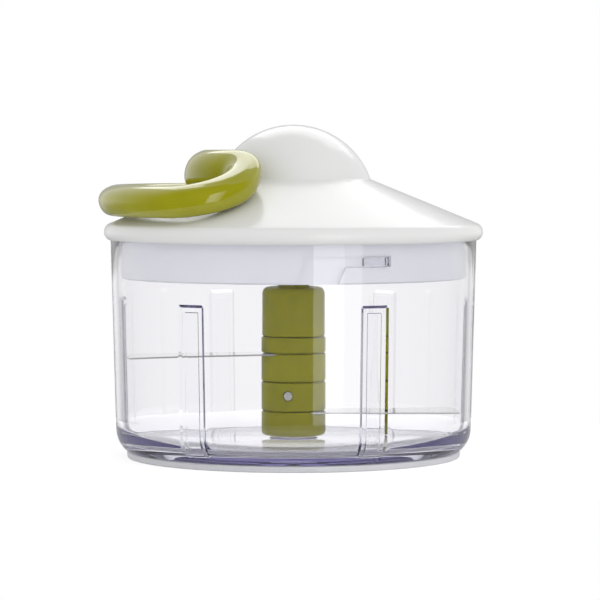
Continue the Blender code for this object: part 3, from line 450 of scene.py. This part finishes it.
# ABS from a spark-eroded mould: a satin skin whose colour is a little deeper than the
# handle's. The real grain is finer, and it is drawn as coarse as it needs to show.
grain_width = 0.000667
shade_width = 0.0167
hub_abs, tree, shader = new_material("satin_olive_abs", {
    "Base Color": linear("#8a8709"), "IOR": 1.54, "Roughness": 0.32,
    "Specular IOR Level": 0.2})
place = add_node(tree, "ShaderNodeTexCoord").outputs["Object"]
grain = add_node(tree, "ShaderNodeTexNoise", {"Scale": 1 / grain_width, "Detail": 2.0},
                 {"Vector": place})
cloud = add_node(tree, "ShaderNodeTexNoise", {"Scale": 1 / shade_width, "Detail": 2.0},
                 {"Vector": place})
colour = add_node(tree, "ShaderNodeValToRGB", {}, {"Fac": cloud.outputs["Fac"]})
colour.color_ramp.elements[0].position = 0.3
colour.color_ramp.elements[0].color = linear("#868300")
colour.color_ramp.elements[1].position = 0.7
colour.color_ramp.elements[1].color = linear("#908d02")
skin = add_node(tree, "ShaderNodeBump", {"Strength": 0.12, "Distance": 0.00003},
                {"Height": grain.outputs["Fac"]})
tree.links.new(colour.outputs["Color"], shader.inputs["Base Color"])
tree.links.new(skin.outputs["Normal"], shader.inputs["Normal"])
dress(hub_abs, "hub_base", "lower_clamp", "middle_hub", "upper_clamp", "hub_cap", "drive_shaft")


# Blades: stamped from 0.6 mm stainless sheet, rolled finish, with a ground front edge. The
# lower one points right, the upper one left, and both sweep close to the ribs.

# Rolled finish: a bright grey mirror with fine lines that run along the blade.
line_length = 0.0333
line_width = 0.0004
blade_steel, tree, shader = new_material("rolled_stainless_sheet", {
    "Base Color": linear("#c9c9c7"), "Metallic": 1.0, "Roughness": 0.07})
place = add_node(tree, "ShaderNodeTexCoord").outputs["Object"]
along = add_node(tree, "ShaderNodeMapping", {
    "Scale": (1 / line_length, 1 / line_width, 1 / line_width)}, {"Vector": place})
lines = add_node(tree, "ShaderNodeTexNoise", {"Scale": 1.0, "Detail": 3.0},
                 {"Vector": along.outputs["Vector"]})
rough = add_node(tree, "ShaderNodeMapRange", {"To Min": 0.05, "To Max": 0.1},
                 {"Value": lines.outputs["Fac"]})
tree.links.new(rough.outputs["Result"], shader.inputs["Roughness"])
dress(blade_steel, "lower_blade", "upper_blade")


# Seal: soft ring of the same milky rubber, moulded with rounded edges, which sits between
# the bowl's rim and the lid and closes the joint when the lid is turned tight.
seal_low, seal_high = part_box("seal_ring")
seal_inner_radius = 0.066
seal_round = 0.00045


def seal_profile(angle):
    """The seal's cut, the same at every angle: a flat bar with four rounded edges."""
    low = seal_low.z + seal_round
    high = seal_high.z - seal_round
    outside = seal_high.x - seal_round
    inside = seal_inner_radius + seal_round
    points = arc(seal_round, pi / 2, 0, 5, (outside, high))
    points += arc(seal_round, 0, -pi / 2, 5, (outside, low))
    points += arc(seal_round, -pi / 2, -pi, 5, (inside, low))
    points += arc(seal_round, pi, pi / 2, 5, (inside, high))
    return points


rim_seal = revolve("rim_seal", seal_profile, round_angles, closed=True)
wear(rim_seal, soft_rubber)
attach(rim_seal, "seal")
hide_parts("seal_ring")


# Lid base: satin white ABS moulding whose skirt sits inside the bowl and carries the lock's
# grooves. The screws hold it up in the shell.

# ABS from a spark-eroded mould: satin and faintly blue. The grain is drawn coarser than the
# real one, so that it shows.
base_grain_width = 0.000833
base_abs, tree, shader = new_material("satin_white_abs", {
    "Base Color": linear("#eaebf0"), "IOR": 1.5, "Roughness": 0.34})
place = add_node(tree, "ShaderNodeTexCoord").outputs["Object"]
grain = add_node(tree, "ShaderNodeTexNoise", {"Scale": 1 / base_grain_width, "Detail": 2.0},
                 {"Vector": place})
skin = add_node(tree, "ShaderNodeBump", {"Strength": 0.08, "Distance": 0.00003},
                {"Height": grain.outputs["Fac"]})
rough = add_node(tree, "ShaderNodeMapRange", {"To Min": 0.28, "To Max": 0.42},
                 {"Value": grain.outputs["Fac"]})
tree.links.new(skin.outputs["Normal"], shader.inputs["Normal"])
tree.links.new(rough.outputs["Result"], shader.inputs["Roughness"])
dress(base_abs, "lid_base")


# Lid shell: glossy white ABS moulding with a dome for the reel, a cone that the handle lies
# on and a rolled rim that covers the bowl's edge. It is screwed to the lid base.
dome_radius = 0.0311
dome_centre_z = 0.0949
dome_join_radius = 0.0293
dome_join_round = 0.0012
bead_round = 0.0035
bead_centre_radius = 0.0684
bead_centre_z = 0.0855
lid_wall = 0.0022
land_inner_radius = 0.0612
land_z = 0.0847
lip_edge = 0.0001
under_cone_row = 0.045
join_cut_back = 3
axle_bore_radius = 0.0018
axle_boss_radius = 0.0043
axle_boss_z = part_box("cord_reel")[1].z + gap
axle_bore_top_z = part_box("axle_pin")[1].z + gap
guide_low, guide_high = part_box("cord_guide")
guide_hole_radius = 0.0029
guide_hole_overrun = 0.002
cord_z = (guide_low.z + guide_high.z) / 2
dome_join_z = dome_centre_z + sqrt(dome_radius ** 2 - dome_join_radius ** 2)
cone_run = bead_centre_radius - dome_join_radius
cone_drop = dome_join_z - bead_centre_z
cone_slope = atan2(cone_drop, cone_run) - asin(bead_round / hypot(cone_run, cone_drop))


def cone_z(radius):
    """Height of the lid's outer cone at a radius."""
    return dome_join_z - tan(cone_slope) * (radius - dome_join_radius)


def fillet(before, corner, after, radius, steps):
    """Points on a small arc that rounds the corner between two straight runs."""
    corner = Vector(corner)
    into = (Vector(before) - corner).normalized()
    out = (Vector(after) - corner).normalized()
    half = into.angle(out) / 2
    reach = radius / tan(half)
    middle = corner + (into + out).normalized() * radius / sin(half)
    start = corner + into * reach - middle
    sweep = start.angle_signed(corner + out * reach - middle)
    points = []
    for k in range(steps + 1):
        spoke = start.copy()
        spoke.rotate(Matrix.Rotation(-sweep * k / steps, 2))
        points.append(tuple(middle + spoke))
    return points


def lid_profile(angle):
    """The shell's cut, the same at every angle: over dome, cone and rim, then back inside."""
    join_angle = atan2(dome_join_z - dome_centre_z, dome_join_radius)
    dome = arc(dome_radius, pi / 2, join_angle, 36, (0, dome_centre_z))
    side = pi / 2 - cone_slope
    bead = arc(bead_round, side, -side, 20, (bead_centre_radius, bead_centre_z))
    lip_radius = bowl_rim_radius + gap
    bead = [p for p in bead if p[1] > bead_centre_z or p[0] > lip_radius + lip_edge]
    inner_dome = dome_radius - lid_wall
    drop = lid_wall / cos(cone_slope)
    join_in = dome_join_radius
    for _ in range(20):
        join_in = sqrt(inner_dome ** 2 - (cone_z(join_in) - drop - dome_centre_z) ** 2)
    inner_start = asin((cone_z(join_in) - drop - dome_centre_z) / inner_dome)
    inner_end = pi / 2 - asin(axle_boss_radius / inner_dome)
    points = dome[:-join_cut_back]
    points += fillet(points[-1], dome[-1], bead[0], dome_join_round, 6)
    for share in (0.25, 0.5, 0.75):
        radius = dome_join_radius + (bead[0][0] - dome_join_radius) * share
        points.append((radius, cone_z(radius)))
    points += bead
    points += [(lip_radius, bead[-1][1]), (lip_radius, land_z), (land_inner_radius, land_z),
               (land_inner_radius, cone_z(land_inner_radius) - drop),
               (under_cone_row, cone_z(under_cone_row) - drop)]
    points += arc(inner_dome, inner_start, inner_end, 14, (0, dome_centre_z))
    points += [(axle_boss_radius, axle_boss_z), (axle_bore_radius, axle_boss_z),
               (axle_bore_radius, axle_bore_top_z), (0, axle_bore_top_z)]
    return points


def rod(name, radius, start, end, sides=32):
    """A round cutter from one point to another."""
    span = Vector(end) - Vector(start)
    work = bmesh.new()
    bmesh.ops.create_cone(work, cap_ends=True, segments=sides, radius1=radius, radius2=radius,
                          depth=span.length)
    turn = Vector((0, 0, 1)).rotation_difference(span).to_matrix().to_4x4()
    bmesh.ops.transform(work, verts=work.verts, matrix=turn)
    bmesh.ops.translate(work, verts=work.verts, vec=(Vector(start) + Vector(end)) / 2)
    mesh = bpy.data.meshes.new(name)
    work.to_mesh(mesh)
    work.free()
    return place_object(name, mesh)


def cut(piece, cutter, crease):
    """Cuts one shape out of a piece for good and removes the cutter."""
    boolean = piece.modifiers.new("cut", "BOOLEAN")
    boolean.object = cutter
    boolean.solver = "EXACT"
    bpy.context.view_layer.update()
    graph = bpy.context.evaluated_depsgraph_get()
    mesh = bpy.data.meshes.new_from_object(piece.evaluated_get(graph))
    piece.modifiers.clear()
    piece.data = mesh
    mesh.shade_smooth()
    mesh.set_sharp_from_angle(angle=crease)
    bpy.data.objects.remove(cutter, do_unlink=True)


domed_lid = revolve("domed_lid", lid_profile, round_angles)
cut(domed_lid, rod("guide_hole", guide_hole_radius,
                   (-dome_radius - guide_hole_overrun, 0, cord_z),
                   (-axle_boss_radius, 0, cord_z)), smooth_limit)
# ABS from a polished mould: an even soft gloss with a very weak long wave and fine handling
# marks, which blur the edges of reflections here and there.
lid_wave_length = 0.025
handling_mark_width = 0.002
lid_abs, tree, shader = new_material("gloss_white_abs", {
    "Base Color": linear("#f2f3f2"), "IOR": 1.5, "Roughness": 0.2,
    "Specular IOR Level": 0.2})
place = add_node(tree, "ShaderNodeTexCoord").outputs["Object"]
wave = add_node(tree, "ShaderNodeTexNoise", {"Scale": 1 / lid_wave_length, "Detail": 1.0},
                {"Vector": place})
marks = add_node(tree, "ShaderNodeTexNoise", {
    "Scale": 1 / handling_mark_width, "Detail": 4.0}, {"Vector": place})
colour = add_node(tree, "ShaderNodeValToRGB", {}, {"Fac": wave.outputs["Fac"]})
colour.color_ramp.elements[0].color = linear("#f0f1f0")
colour.color_ramp.elements[1].color = linear("#f5f5f4")
rough = add_node(tree, "ShaderNodeMapRange", {"From Min": 0.4, "From Max": 0.8, "To Min": 0.16,
                                              "To Max": 0.26}, {"Value": marks.outputs["Fac"]})
relief = add_node(tree, "ShaderNodeBump", {"Strength": 0.06, "Distance": 0.0002},
                  {"Height": wave.outputs["Fac"]})
tree.links.new(colour.outputs["Color"], shader.inputs["Base Color"])
tree.links.new(rough.outputs["Result"], shader.inputs["Roughness"])
tree.links.new(relief.outputs["Normal"], shader.inputs["Normal"])
wear(domed_lid, lid_abs)
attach(domed_lid, "lid")
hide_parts("lid_shell")


# Screws of the lid: cold-headed steel, driven up through the base into the shell's posts.
# The thrust washer and the reel's axle pin have the same plating.

# Zinc plated steel: a cool grey metal, mottled where the plating has bloomed.
bloom_width = 0.00143
zinc, tree, shader = new_material("zinc_plated_steel", {
    "Base Color": linear("#c4c6c8"), "Metallic": 1.0, "Roughness": 0.3})
place = add_node(tree, "ShaderNodeTexCoord").outputs["Object"]
bloom = add_node(tree, "ShaderNodeTexNoise", {"Scale": 1 / bloom_width, "Detail": 3.0},
                 {"Vector": place})
rough = add_node(tree, "ShaderNodeMapRange", {"To Min": 0.24, "To Max": 0.42},
                 {"Value": bloom.outputs["Fac"]})
tree.links.new(rough.outputs["Result"], shader.inputs["Roughness"])
dress(zinc, "lid_screw_1", "lid_screw_2", "lid_screw_3", "thrust_washer", "axle_pin")


# Recoil spring: spring steel strip, wound flat round the arbor and hooked to its case at the
# outer end. It winds the cord back.

# Blued steel: a dark metal whose tempering colour shifts slowly between blue and grey.
temper_length = 0.00833
spring_steel, tree, shader = new_material("blued_spring_steel", {
    "Base Color": linear("#6f7684"), "Metallic": 1.0, "Roughness": 0.3})
place = add_node(tree, "ShaderNodeTexCoord").outputs["Object"]
temper = add_node(tree, "ShaderNodeTexNoise", {"Scale": 1 / temper_length, "Detail": 2.0},
                  {"Vector": place})
colour = add_node(tree, "ShaderNodeValToRGB", {}, {"Fac": temper.outputs["Fac"]})
colour.color_ramp.elements[0].color = linear("#5c6679")
colour.color_ramp.elements[1].color = linear("#7d8088")
tree.links.new(colour.outputs["Color"], shader.inputs["Base Color"])
dress(spring_steel, "recoil_spring")


# Bush, spring cover and reel: moulded in acetal, which runs without grease. The bush is
# pressed into the base, the cover closes the spring's case, and the reel turns on its pin.

# Natural acetal: a waxy off-white with a satin skin and faint clouds.
acetal_cloud_width = 0.0111
acetal, tree, shader = new_material("natural_acetal", {
    "Base Color": linear("#e4e2da"), "IOR": 1.48, "Roughness": 0.4})
place = add_node(tree, "ShaderNodeTexCoord").outputs["Object"]
cloud = add_node(tree, "ShaderNodeTexNoise", {
    "Scale": 1 / acetal_cloud_width, "Detail": 3.0}, {"Vector": place})
colour = add_node(tree, "ShaderNodeValToRGB", {}, {"Fac": cloud.outputs["Fac"]})
colour.color_ramp.elements[0].color = linear("#dfddd4")
colour.color_ramp.elements[1].color = linear("#e9e7e0")
tree.links.new(colour.outputs["Color"], shader.inputs["Base Color"])
dress(acetal, "shaft_bush", "spring_cover", "cord_reel")


# Cord guide: liner turned from stainless steel and pressed into the dome's hole. The cord
# runs over its rounded mouth.
dress(pin_steel, "cord_guide")


# Cord: braided polyester, 2.4 mm thick. Its winding on the reel, its run to the handle and
# the knot at its end are one piece of cord.

# Braided yarn: matt off-white with crossing strands, and painted shade in the grooves between
# them. Real ones cross about every 0.8 mm, and they are drawn four times as wide, so that they
# show.
strand_width = 0.00314
cord_yarn, tree, shader = new_material("braided_polyester", {
    "Base Color": linear("#dddcd4"), "IOR": 1.5, "Roughness": 0.75, "Sheen Weight": 0.3,
    "Sheen Roughness": 0.4})
place = add_node(tree, "ShaderNodeTexCoord").outputs["Object"]
strands = []
for turn in (0, pi / 2):
    turned = add_node(tree, "ShaderNodeMapping", {"Rotation": (0, 0, turn)}, {"Vector": place})
    strands.append(add_node(tree, "ShaderNodeTexWave", {
        "wave_type": "BANDS", "bands_direction": "DIAGONAL",
        "Scale": 2 * pi / (10 * strand_width), "Distortion": 1.0},
        {"Vector": turned.outputs["Vector"]}))
braid = add_node(tree, "ShaderNodeMath", {"operation": "MAXIMUM"},
                 {0: strands[0].outputs["Fac"], 1: strands[1].outputs["Fac"]})
# Painted shade: the colour darkens where the braid is low, in the grooves between the strands.
colour = add_node(tree, "ShaderNodeValToRGB", {}, {"Fac": braid.outputs["Value"]})
colour.color_ramp.elements[0].color = linear("#b9b7ad")
colour.color_ramp.elements[1].color = linear("#e3e2db")
skin = add_node(tree, "ShaderNodeBump", {"Strength": 0.6, "Distance": 0.0002},
                {"Height": braid.outputs["Value"]})
tree.links.new(colour.outputs["Color"], shader.inputs["Base Color"])
tree.links.new(skin.outputs["Normal"], shader.inputs["Normal"])

cord_radius = 0.0012
reel_pitch_radius = 0.0175
cord_bend_x = -guide_high.x - 2 * cord_radius - gap
cord_leave = pi + acos(reel_pitch_radius / cord_bend_x)
cord_turns = 4
turn_steps = 64
knot_strand = 0.001
knot_rise = 0.0009
knot_steps = 96


def winding_path():
    """The turns on the reel: a level helix that goes down from where the cord leaves it."""
    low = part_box("cord_winding")[0].z
    pitch = (cord_z - cord_radius - low) / cord_turns
    points = []
    for k in range(cord_turns * turn_steps + 1):
        angle = cord_leave + 2 * pi * k / turn_steps
        points.append(Vector((reel_pitch_radius * cos(angle), reel_pitch_radius * sin(angle),
                              cord_z - pitch * k / turn_steps)))
    return points


def tube_mesh(name, path, radius, sides=16):
    """A closed tube along a path that lies in a level plane."""
    work = bmesh.new()
    rings = []
    for i, point in enumerate(path):
        ahead = path[min(i + 1, len(path) - 1)] - path[max(i - 1, 0)]
        side = Vector((-ahead.y, ahead.x, 0)).normalized()
        up = Vector((0, 0, 1))
        rings.append([work.verts.new(point + side * radius * cos(2 * pi * k / sides)
                                     + up * radius * sin(2 * pi * k / sides))
                      for k in range(sides)])
    for here, after in zip(rings, rings[1:]):
        for k in range(sides):
            beside = (k + 1) % sides
            work.faces.new((here[k], here[beside], after[beside], after[k]))
    work.faces.new(rings[0])
    work.faces.new(rings[-1])
    bmesh.ops.recalc_face_normals(work, faces=work.faces)
    mesh = bpy.data.meshes.new(name)
    work.to_mesh(mesh)
    work.free()
    mesh.shade_smooth()
    mesh.set_sharp_from_angle(angle=radians(50))
    return place_object(name, mesh)


def tied_knot():
    """The end knot: one strand that passes over and under itself three times, pulled tight
    against the bottom of the handle's pocket."""
    low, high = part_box("cord_knot")
    spread = ((high.z - low.z) / 2 - knot_strand) / 3
    middle = Vector((high.x - knot_rise - knot_strand, 0, cord_z))
    data = bpy.data.curves.new("tied_knot", "CURVE")
    data.dimensions = "3D"
    data.bevel_depth = knot_strand
    data.bevel_resolution = 5
    strand = data.splines.new("POLY")
    strand.points.add(knot_steps - 1)
    for k, point in enumerate(strand.points):
        t = 2 * pi * k / knot_steps
        place = middle + Vector((knot_rise * sin(3 * t), spread * (sin(t) + 2 * sin(2 * t)),
                                 spread * (cos(t) - 2 * cos(2 * t))))
        point.co = (*place, 1)
    strand.use_cyclic_u = True
    curve = place_object("knot_curve", data)
    bpy.context.view_layer.update()
    graph = bpy.context.evaluated_depsgraph_get()
    mesh = bpy.data.meshes.new_from_object(curve.evaluated_get(graph))
    bpy.data.objects.remove(curve, do_unlink=True)
    mesh.shade_smooth()
    return place_object("tied_knot", mesh)


wound_cord = tube_mesh("wound_cord", winding_path(), cord_radius)
wear(wound_cord, cord_yarn)
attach(wound_cord, "reel")
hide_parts("cord_winding")
end_knot = tied_knot()
wear(end_knot, cord_yarn)
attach(end_knot, "handle")
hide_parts("cord_knot")


# The cord's run from the reel through the guide to the handle's pocket.
cord_end_x = -0.0351
cord_rings = 14
bend_steps = 8


def cord_path():
    """Straight off the reel, round a bend behind the guide and straight to the knot."""
    start = Vector((reel_pitch_radius * cos(cord_leave), reel_pitch_radius * sin(cord_leave),
                    cord_z))
    bend = Vector((-cord_bend_x, 0, cord_z))
    away = (bend - start).normalized()
    start += away * (cord_radius + gap)
    inner = bend - away * cord_radius * 2
    outer = bend + Vector((-cord_radius * 2, 0, 0))
    points = [start, inner.lerp(start, 0.5), inner]
    for k in range(1, bend_steps):
        share = k / bend_steps
        points.append(inner.lerp(bend, share).lerp(bend.lerp(outer, share), share))
    end = Vector((cord_end_x, 0, cord_z))
    points += [outer.lerp(end, k / cord_rings) for k in range(cord_rings + 1)]
    return points


drawn_cord = tube_mesh("drawn_cord", cord_path(), cord_radius)
wear(drawn_cord, cord_yarn)
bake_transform(drawn_cord)
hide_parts("pull_cord")


# Handle: a closed loop in one olive ABS moulding, a crescent that lies on the cone round
# the dome, with the inner bar beside it. The bars are round, and towards the two tips a flat
# facet with a crisp edge opens on top.
handle_outer_radius = 0.0676
handle_inner_radius = 0.0356
handle_spread = radians(48.2)
handle_half_width = 0.0063
handle_tip_widening = 0.0006
outer_half_height = 0.0056
inner_half_height = 0.0059
handle_lift = 0.0015
inner_lean = 0.45
bar_roundness = 2.3
tip_roundness = 2.9
bar_crease = radians(22)
tip_crease = radians(62)
bar_facet_half = radians(20)
tip_facet_half = radians(31)
outer_steps = 56
inner_steps = 28
tip_steps = 32
section_steps = 56
facet_start = 0.6
handle_crease = radians(24)
hole_overrun = 0.001
knot_pocket_radius = 0.0031
knot_pocket_x = -0.0351


def handle_stations():
    """Radius, angle and share of the facet round the loop's middle line."""
    tip_radius = (handle_outer_radius - handle_inner_radius) / 2
    tip_middle = (handle_outer_radius + handle_inner_radius) / 2
    stations = []

    def bar(radius, steps, way):
        for k in range(steps):
            spread = way * handle_spread * (2 * k / steps - 1)
            share = max(0, abs(spread) / handle_spread - facet_start)
            stations.append((radius, pi + spread, share))

    def tip(side):
        for k in range(tip_steps):
            turn = pi * k / tip_steps
            turn = pi - turn if side < 0 else turn
            along = tip_middle + tip_radius * cos(turn)
            aside = side * tip_radius * sin(turn)
            stations.append((hypot(along, aside),
                             pi + side * handle_spread + atan2(aside, along),
                             1 - facet_start + facet_start * sin(turn)))

    bar(handle_outer_radius, outer_steps, 1)
    tip(1)
    bar(handle_inner_radius, inner_steps, -1)
    tip(-1)
    return stations


def mixed(first, second, share):
    """A value between two others."""
    return first + (second - first) * share


def outer_share(radius):
    """0 on the inner bar's middle line, 1 on the outer bar's."""
    way = (radius - handle_inner_radius) / (handle_outer_radius - handle_inner_radius)
    return min(1, max(0, way))


def handle_section(radius, facet_share):
    """Points (up, outwards) of the bar's section, from the facet's crease on."""
    share = outer_share(radius)
    at_tip = 4 * share * (1 - share)
    half_height = mixed(inner_half_height, outer_half_height, share)
    half_width = handle_half_width + handle_tip_widening * at_tip
    power = mixed(bar_roundness, tip_roundness, at_tip)
    crease = mixed(bar_crease, tip_crease, at_tip ** 2)
    half = mixed(bar_facet_half * facet_share, tip_facet_half, at_tip)
    lean = inner_lean * (1 - share) ** 2

    def oval(turn):
        up = abs(cos(turn)) / half_height
        across = abs(sin(turn)) / half_width
        return (up ** power + across ** power) ** (-1 / power)

    points = []
    for k in range(section_steps):
        turn = crease + 2 * pi * k / section_steps
        turn = turn - 2 * pi if turn > pi else turn
        reach = oval(turn)
        off = turn - (crease - half)
        if abs(off) <= half + 0.00001:
            reach = min(reach, oval(crease) * cos(half) / cos(off))
        points.append((reach * cos(turn), reach * sin(turn) + lean * reach * cos(turn)))
    return points


def handle_centre(radius, angle):
    """The loop's middle line: a bar's half height above the cone, and more at the outer bar."""
    share = outer_share(radius)
    rise = (mixed(inner_half_height, outer_half_height, share) + gap) / cos(cone_slope)
    return Vector((radius * cos(angle), radius * sin(angle),
                   cone_z(radius) + rise + handle_lift * share ** 2))


def loft_handle():
    """The loop as one closed skin through a section at each station."""
    stations = handle_stations()
    centres = [handle_centre(radius, angle) for radius, angle, _ in stations]
    count = len(stations)
    work = bmesh.new()
    rings = []
    for i, (radius, angle, share) in enumerate(stations):
        ahead = (centres[(i + 1) % count] - centres[i - 1]).normalized()
        normal = Vector((sin(cone_slope) * cos(angle), sin(cone_slope) * sin(angle),
                         cos(cone_slope)))
        outward = ahead.cross(normal).normalized()
        normal = outward.cross(ahead).normalized()
        rings.append([work.verts.new(centres[i] + normal * up + outward * out)
                      for up, out in handle_section(radius, share)])
    for i in range(count):
        after = rings[(i + 1) % count]
        for k in range(section_steps):
            beside = (k + 1) % section_steps
            work.faces.new((rings[i][k], after[k], after[beside], rings[i][beside]))
    bmesh.ops.recalc_face_normals(work, faces=work.faces)
    mesh = bpy.data.meshes.new("loop_handle")
    work.to_mesh(mesh)
    work.free()
    return place_object("loop_handle", mesh)


loop_handle = loft_handle()
inner_face = -handle_inner_radius + handle_half_width + hole_overrun
loop_side = -handle_inner_radius - handle_half_width - hole_overrun
for name, radius, start_x in (("cord_hole", cord_radius + gap, inner_face),
                              ("knot_pocket", knot_pocket_radius, knot_pocket_x)):
    hole = rod(name, radius, (start_x, 0, cord_z), (loop_side, 0, cord_z))
    cut(loop_handle, hole, handle_crease)
# ABS from a polished mould: a high gloss on yellowish olive, with a weak wave and fine
# handling marks where fingers have dulled it.
handle_wave_length = 0.0182
finger_mark_width = 0.00238
handle_abs, tree, shader = new_material("gloss_olive_abs", {
    "Base Color": linear("#a3a11a"), "IOR": 1.54, "Roughness": 0.09})
place = add_node(tree, "ShaderNodeTexCoord").outputs["Object"]
wave = add_node(tree, "ShaderNodeTexNoise", {"Scale": 1 / handle_wave_length, "Detail": 2.0},
                {"Vector": place})
marks = add_node(tree, "ShaderNodeTexNoise", {
    "Scale": 1 / finger_mark_width, "Detail": 4.0}, {"Vector": place})
colour = add_node(tree, "ShaderNodeValToRGB", {}, {"Fac": wave.outputs["Fac"]})
colour.color_ramp.elements[0].position = 0.3
colour.color_ramp.elements[0].color = linear("#9c9a14")
colour.color_ramp.elements[1].position = 0.7
colour.color_ramp.elements[1].color = linear("#a8a620")
rough = add_node(tree, "ShaderNodeMapRange", {"From Min": 0.4, "From Max": 0.8, "To Min": 0.06,
                                              "To Max": 0.14}, {"Value": marks.outputs["Fac"]})
relief = add_node(tree, "ShaderNodeBump", {"Strength": 0.06, "Distance": 0.0002},
                  {"Height": wave.outputs["Fac"]})
tree.links.new(colour.outputs["Color"], shader.inputs["Base Color"])
tree.links.new(rough.outputs["Result"], shader.inputs["Roughness"])
tree.links.new(relief.outputs["Normal"], shader.inputs["Normal"])
wear(loop_handle, handle_abs)
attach(loop_handle, "handle")
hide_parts("handle")


# Studio: a small round white table in a white surround. The key light, a broad lamp above
# on the front right, lights matt surfaces only. Two upright softboxes low on the right show
# in the bowl's gloss, and a wide one above and behind shows on the handle and the lid.
table_radius = 0.18
table_sides = 96
eye_glow = 0.5
clear_glow = 0.6
table_mesh = bpy.data.meshes.new("table")
work = bmesh.new()
bmesh.ops.create_circle(work, cap_ends=True, segments=table_sides, radius=table_radius)
work.to_mesh(table_mesh)
work.free()
table_top = place_object("table", table_mesh)
# White card, matt: as light as the surround to the eye, and through the clear plastic too.
card, tree, shader = new_material("white_card", {
    "Base Color": linear("#f4f4f4"), "Roughness": 0.9, "Specular IOR Level": 0.0})
ray = add_node(tree, "ShaderNodeLightPath")
to_eye = add_node(tree, "ShaderNodeMath", {"operation": "MULTIPLY", 1: eye_glow},
                  {0: ray.outputs["Is Camera Ray"]})
through = add_node(tree, "ShaderNodeMath", {"operation": "MULTIPLY_ADD", 1: clear_glow},
                   {0: ray.outputs["Is Transmission Ray"], 2: to_eye.outputs[0]})
shader.inputs["Emission Color"].default_value = (1, 1, 1, 1)
tree.links.new(through.outputs[0], shader.inputs["Emission Strength"])
wear(table_top, card)

# World: pure white behind the object and a plain level as light, a little less from above.
# Gloss and clear plastic also show the sides and the front of the room, which are dim.
world = bpy.data.worlds.new("studio")
bpy.context.scene.world = world
world.use_nodes = True
tree = world.node_tree
ray = add_node(tree, "ShaderNodeLightPath")
way = add_node(tree, "ShaderNodeTexCoord").outputs["Generated"]
parts = add_node(tree, "ShaderNodeSeparateXYZ", {}, {"Vector": way})

# Each level goes softly from low to high while one part of the direction goes from start to
# end: X is right, Y is behind and Z is up.
level = {}
for name, part, start, end, low, high in (
        ("light", "Z", 0.1, 0.9, 0.83, 0.64),
        ("gloss_behind", "Y", -0.2, 0.75, 0.04, 1.0),
        ("gloss_straight_behind", "Y", 0.9, 0.985, 1.0, 0.5),
        ("gloss_above", "Z", -0.3, 0.0, 0.3, 1.0),
        ("clear", "Y", 0.75, 0.98, 0.9, 1.06),
        ("clear_mirrored", "Y", 0.85, 0.99, 0.58, 1.15)):
    eased = add_node(tree, "ShaderNodeMapRange", {
        "From Min": start, "From Max": end, "To Min": low, "To Max": high,
        "interpolation_type": "SMOOTHSTEP"}, {"Value": parts.outputs[part]})
    level[name] = eased.outputs["Result"]
gloss = level["gloss_behind"]
for name in ("gloss_straight_behind", "gloss_above"):
    gloss = add_node(tree, "ShaderNodeMath", {"operation": "MULTIPLY"},
                     {0: gloss, 1: level[name]}).outputs[0]

# Light that was mirrored in the plastic sees a dimmer room, and matt pieces inside the bowl
# get the light that comes in through its walls.
inside_level = 1.85
fact = {}
for name, depth in (("mirrored", "Glossy Depth"), ("inside", "Diffuse Depth")):
    capped = add_node(tree, "ShaderNodeMath", {"operation": "MINIMUM", 1: 1.0},
                      {0: ray.outputs[depth]})
    fact[name] = capped.outputs[0]
clear = add_node(tree, "ShaderNodeMix", {},
                 {0: fact["mirrored"], 2: level["clear"], 3: level["clear_mirrored"]})
clear = add_node(tree, "ShaderNodeMix", {3: inside_level},
                 {0: fact["inside"], 2: clear.outputs[0]})
strength = add_node(tree, "ShaderNodeMix", {},
                    {0: ray.outputs["Is Glossy Ray"], 2: level["light"], 3: gloss})
strength = add_node(tree, "ShaderNodeMix", {}, {
    0: ray.outputs["Is Transmission Ray"], 2: strength.outputs[0], 3: clear.outputs[0]})
strength = add_node(tree, "ShaderNodeMix", {3: 1.0},
                    {0: ray.outputs["Is Camera Ray"], 2: strength.outputs[0]})
tree.nodes["Background"].inputs["Color"].default_value = (1, 1, 1, 1)
tree.links.new(strength.outputs[0], tree.nodes["Background"].inputs["Strength"])


def softbox(name, place, target, width, height, power):
    """An area lamp that neither the eye nor the clear plastic shows."""
    data = bpy.data.lights.new(name, "AREA")
    data.shape = "RECTANGLE"
    data.size = width
    data.size_y = height
    data.energy = power
    lamp = place_object(name, data)
    lamp.location = place
    aim = Vector(target) - Vector(place)
    lamp.rotation_euler = aim.to_track_quat("-Z", "Y").to_euler()
    lamp.visible_camera = False
    lamp.visible_transmission = False
    return lamp


key = softbox("key", place=(0.7, -0.8, 0.65), target=(0, 0, 0.05),
              width=1.0, height=1.0, power=2.3)
key.visible_glossy = False
right_softbox = softbox("right_softbox", place=(0.206, -0.542, 0), target=(0, 0, 0.02),
                        width=0.188, height=0.5, power=0.8)
right_edge = softbox("right_edge", place=(0.333, -0.475, 0), target=(0, 0, 0.02),
                     width=0.101, height=0.5, power=0.25)
back_softbox = softbox("back_softbox", place=(0.133, 0.74, 0.785), target=(-0.02, -0.05, 0.11),
                       width=0.98, height=0.58, power=3.6)
for lamp in (right_softbox, right_edge, back_softbox):
    lamp.visible_diffuse = False

# Light that enters the clear bowl turns round in it many times before it leaves.
bpy.context.scene.cycles.max_bounces = 24
bpy.context.scene.cycles.glossy_bounces = 16
bpy.context.scene.cycles.transmission_bounces = 24
bpy.context.scene.view_settings.view_transform = "Standard"
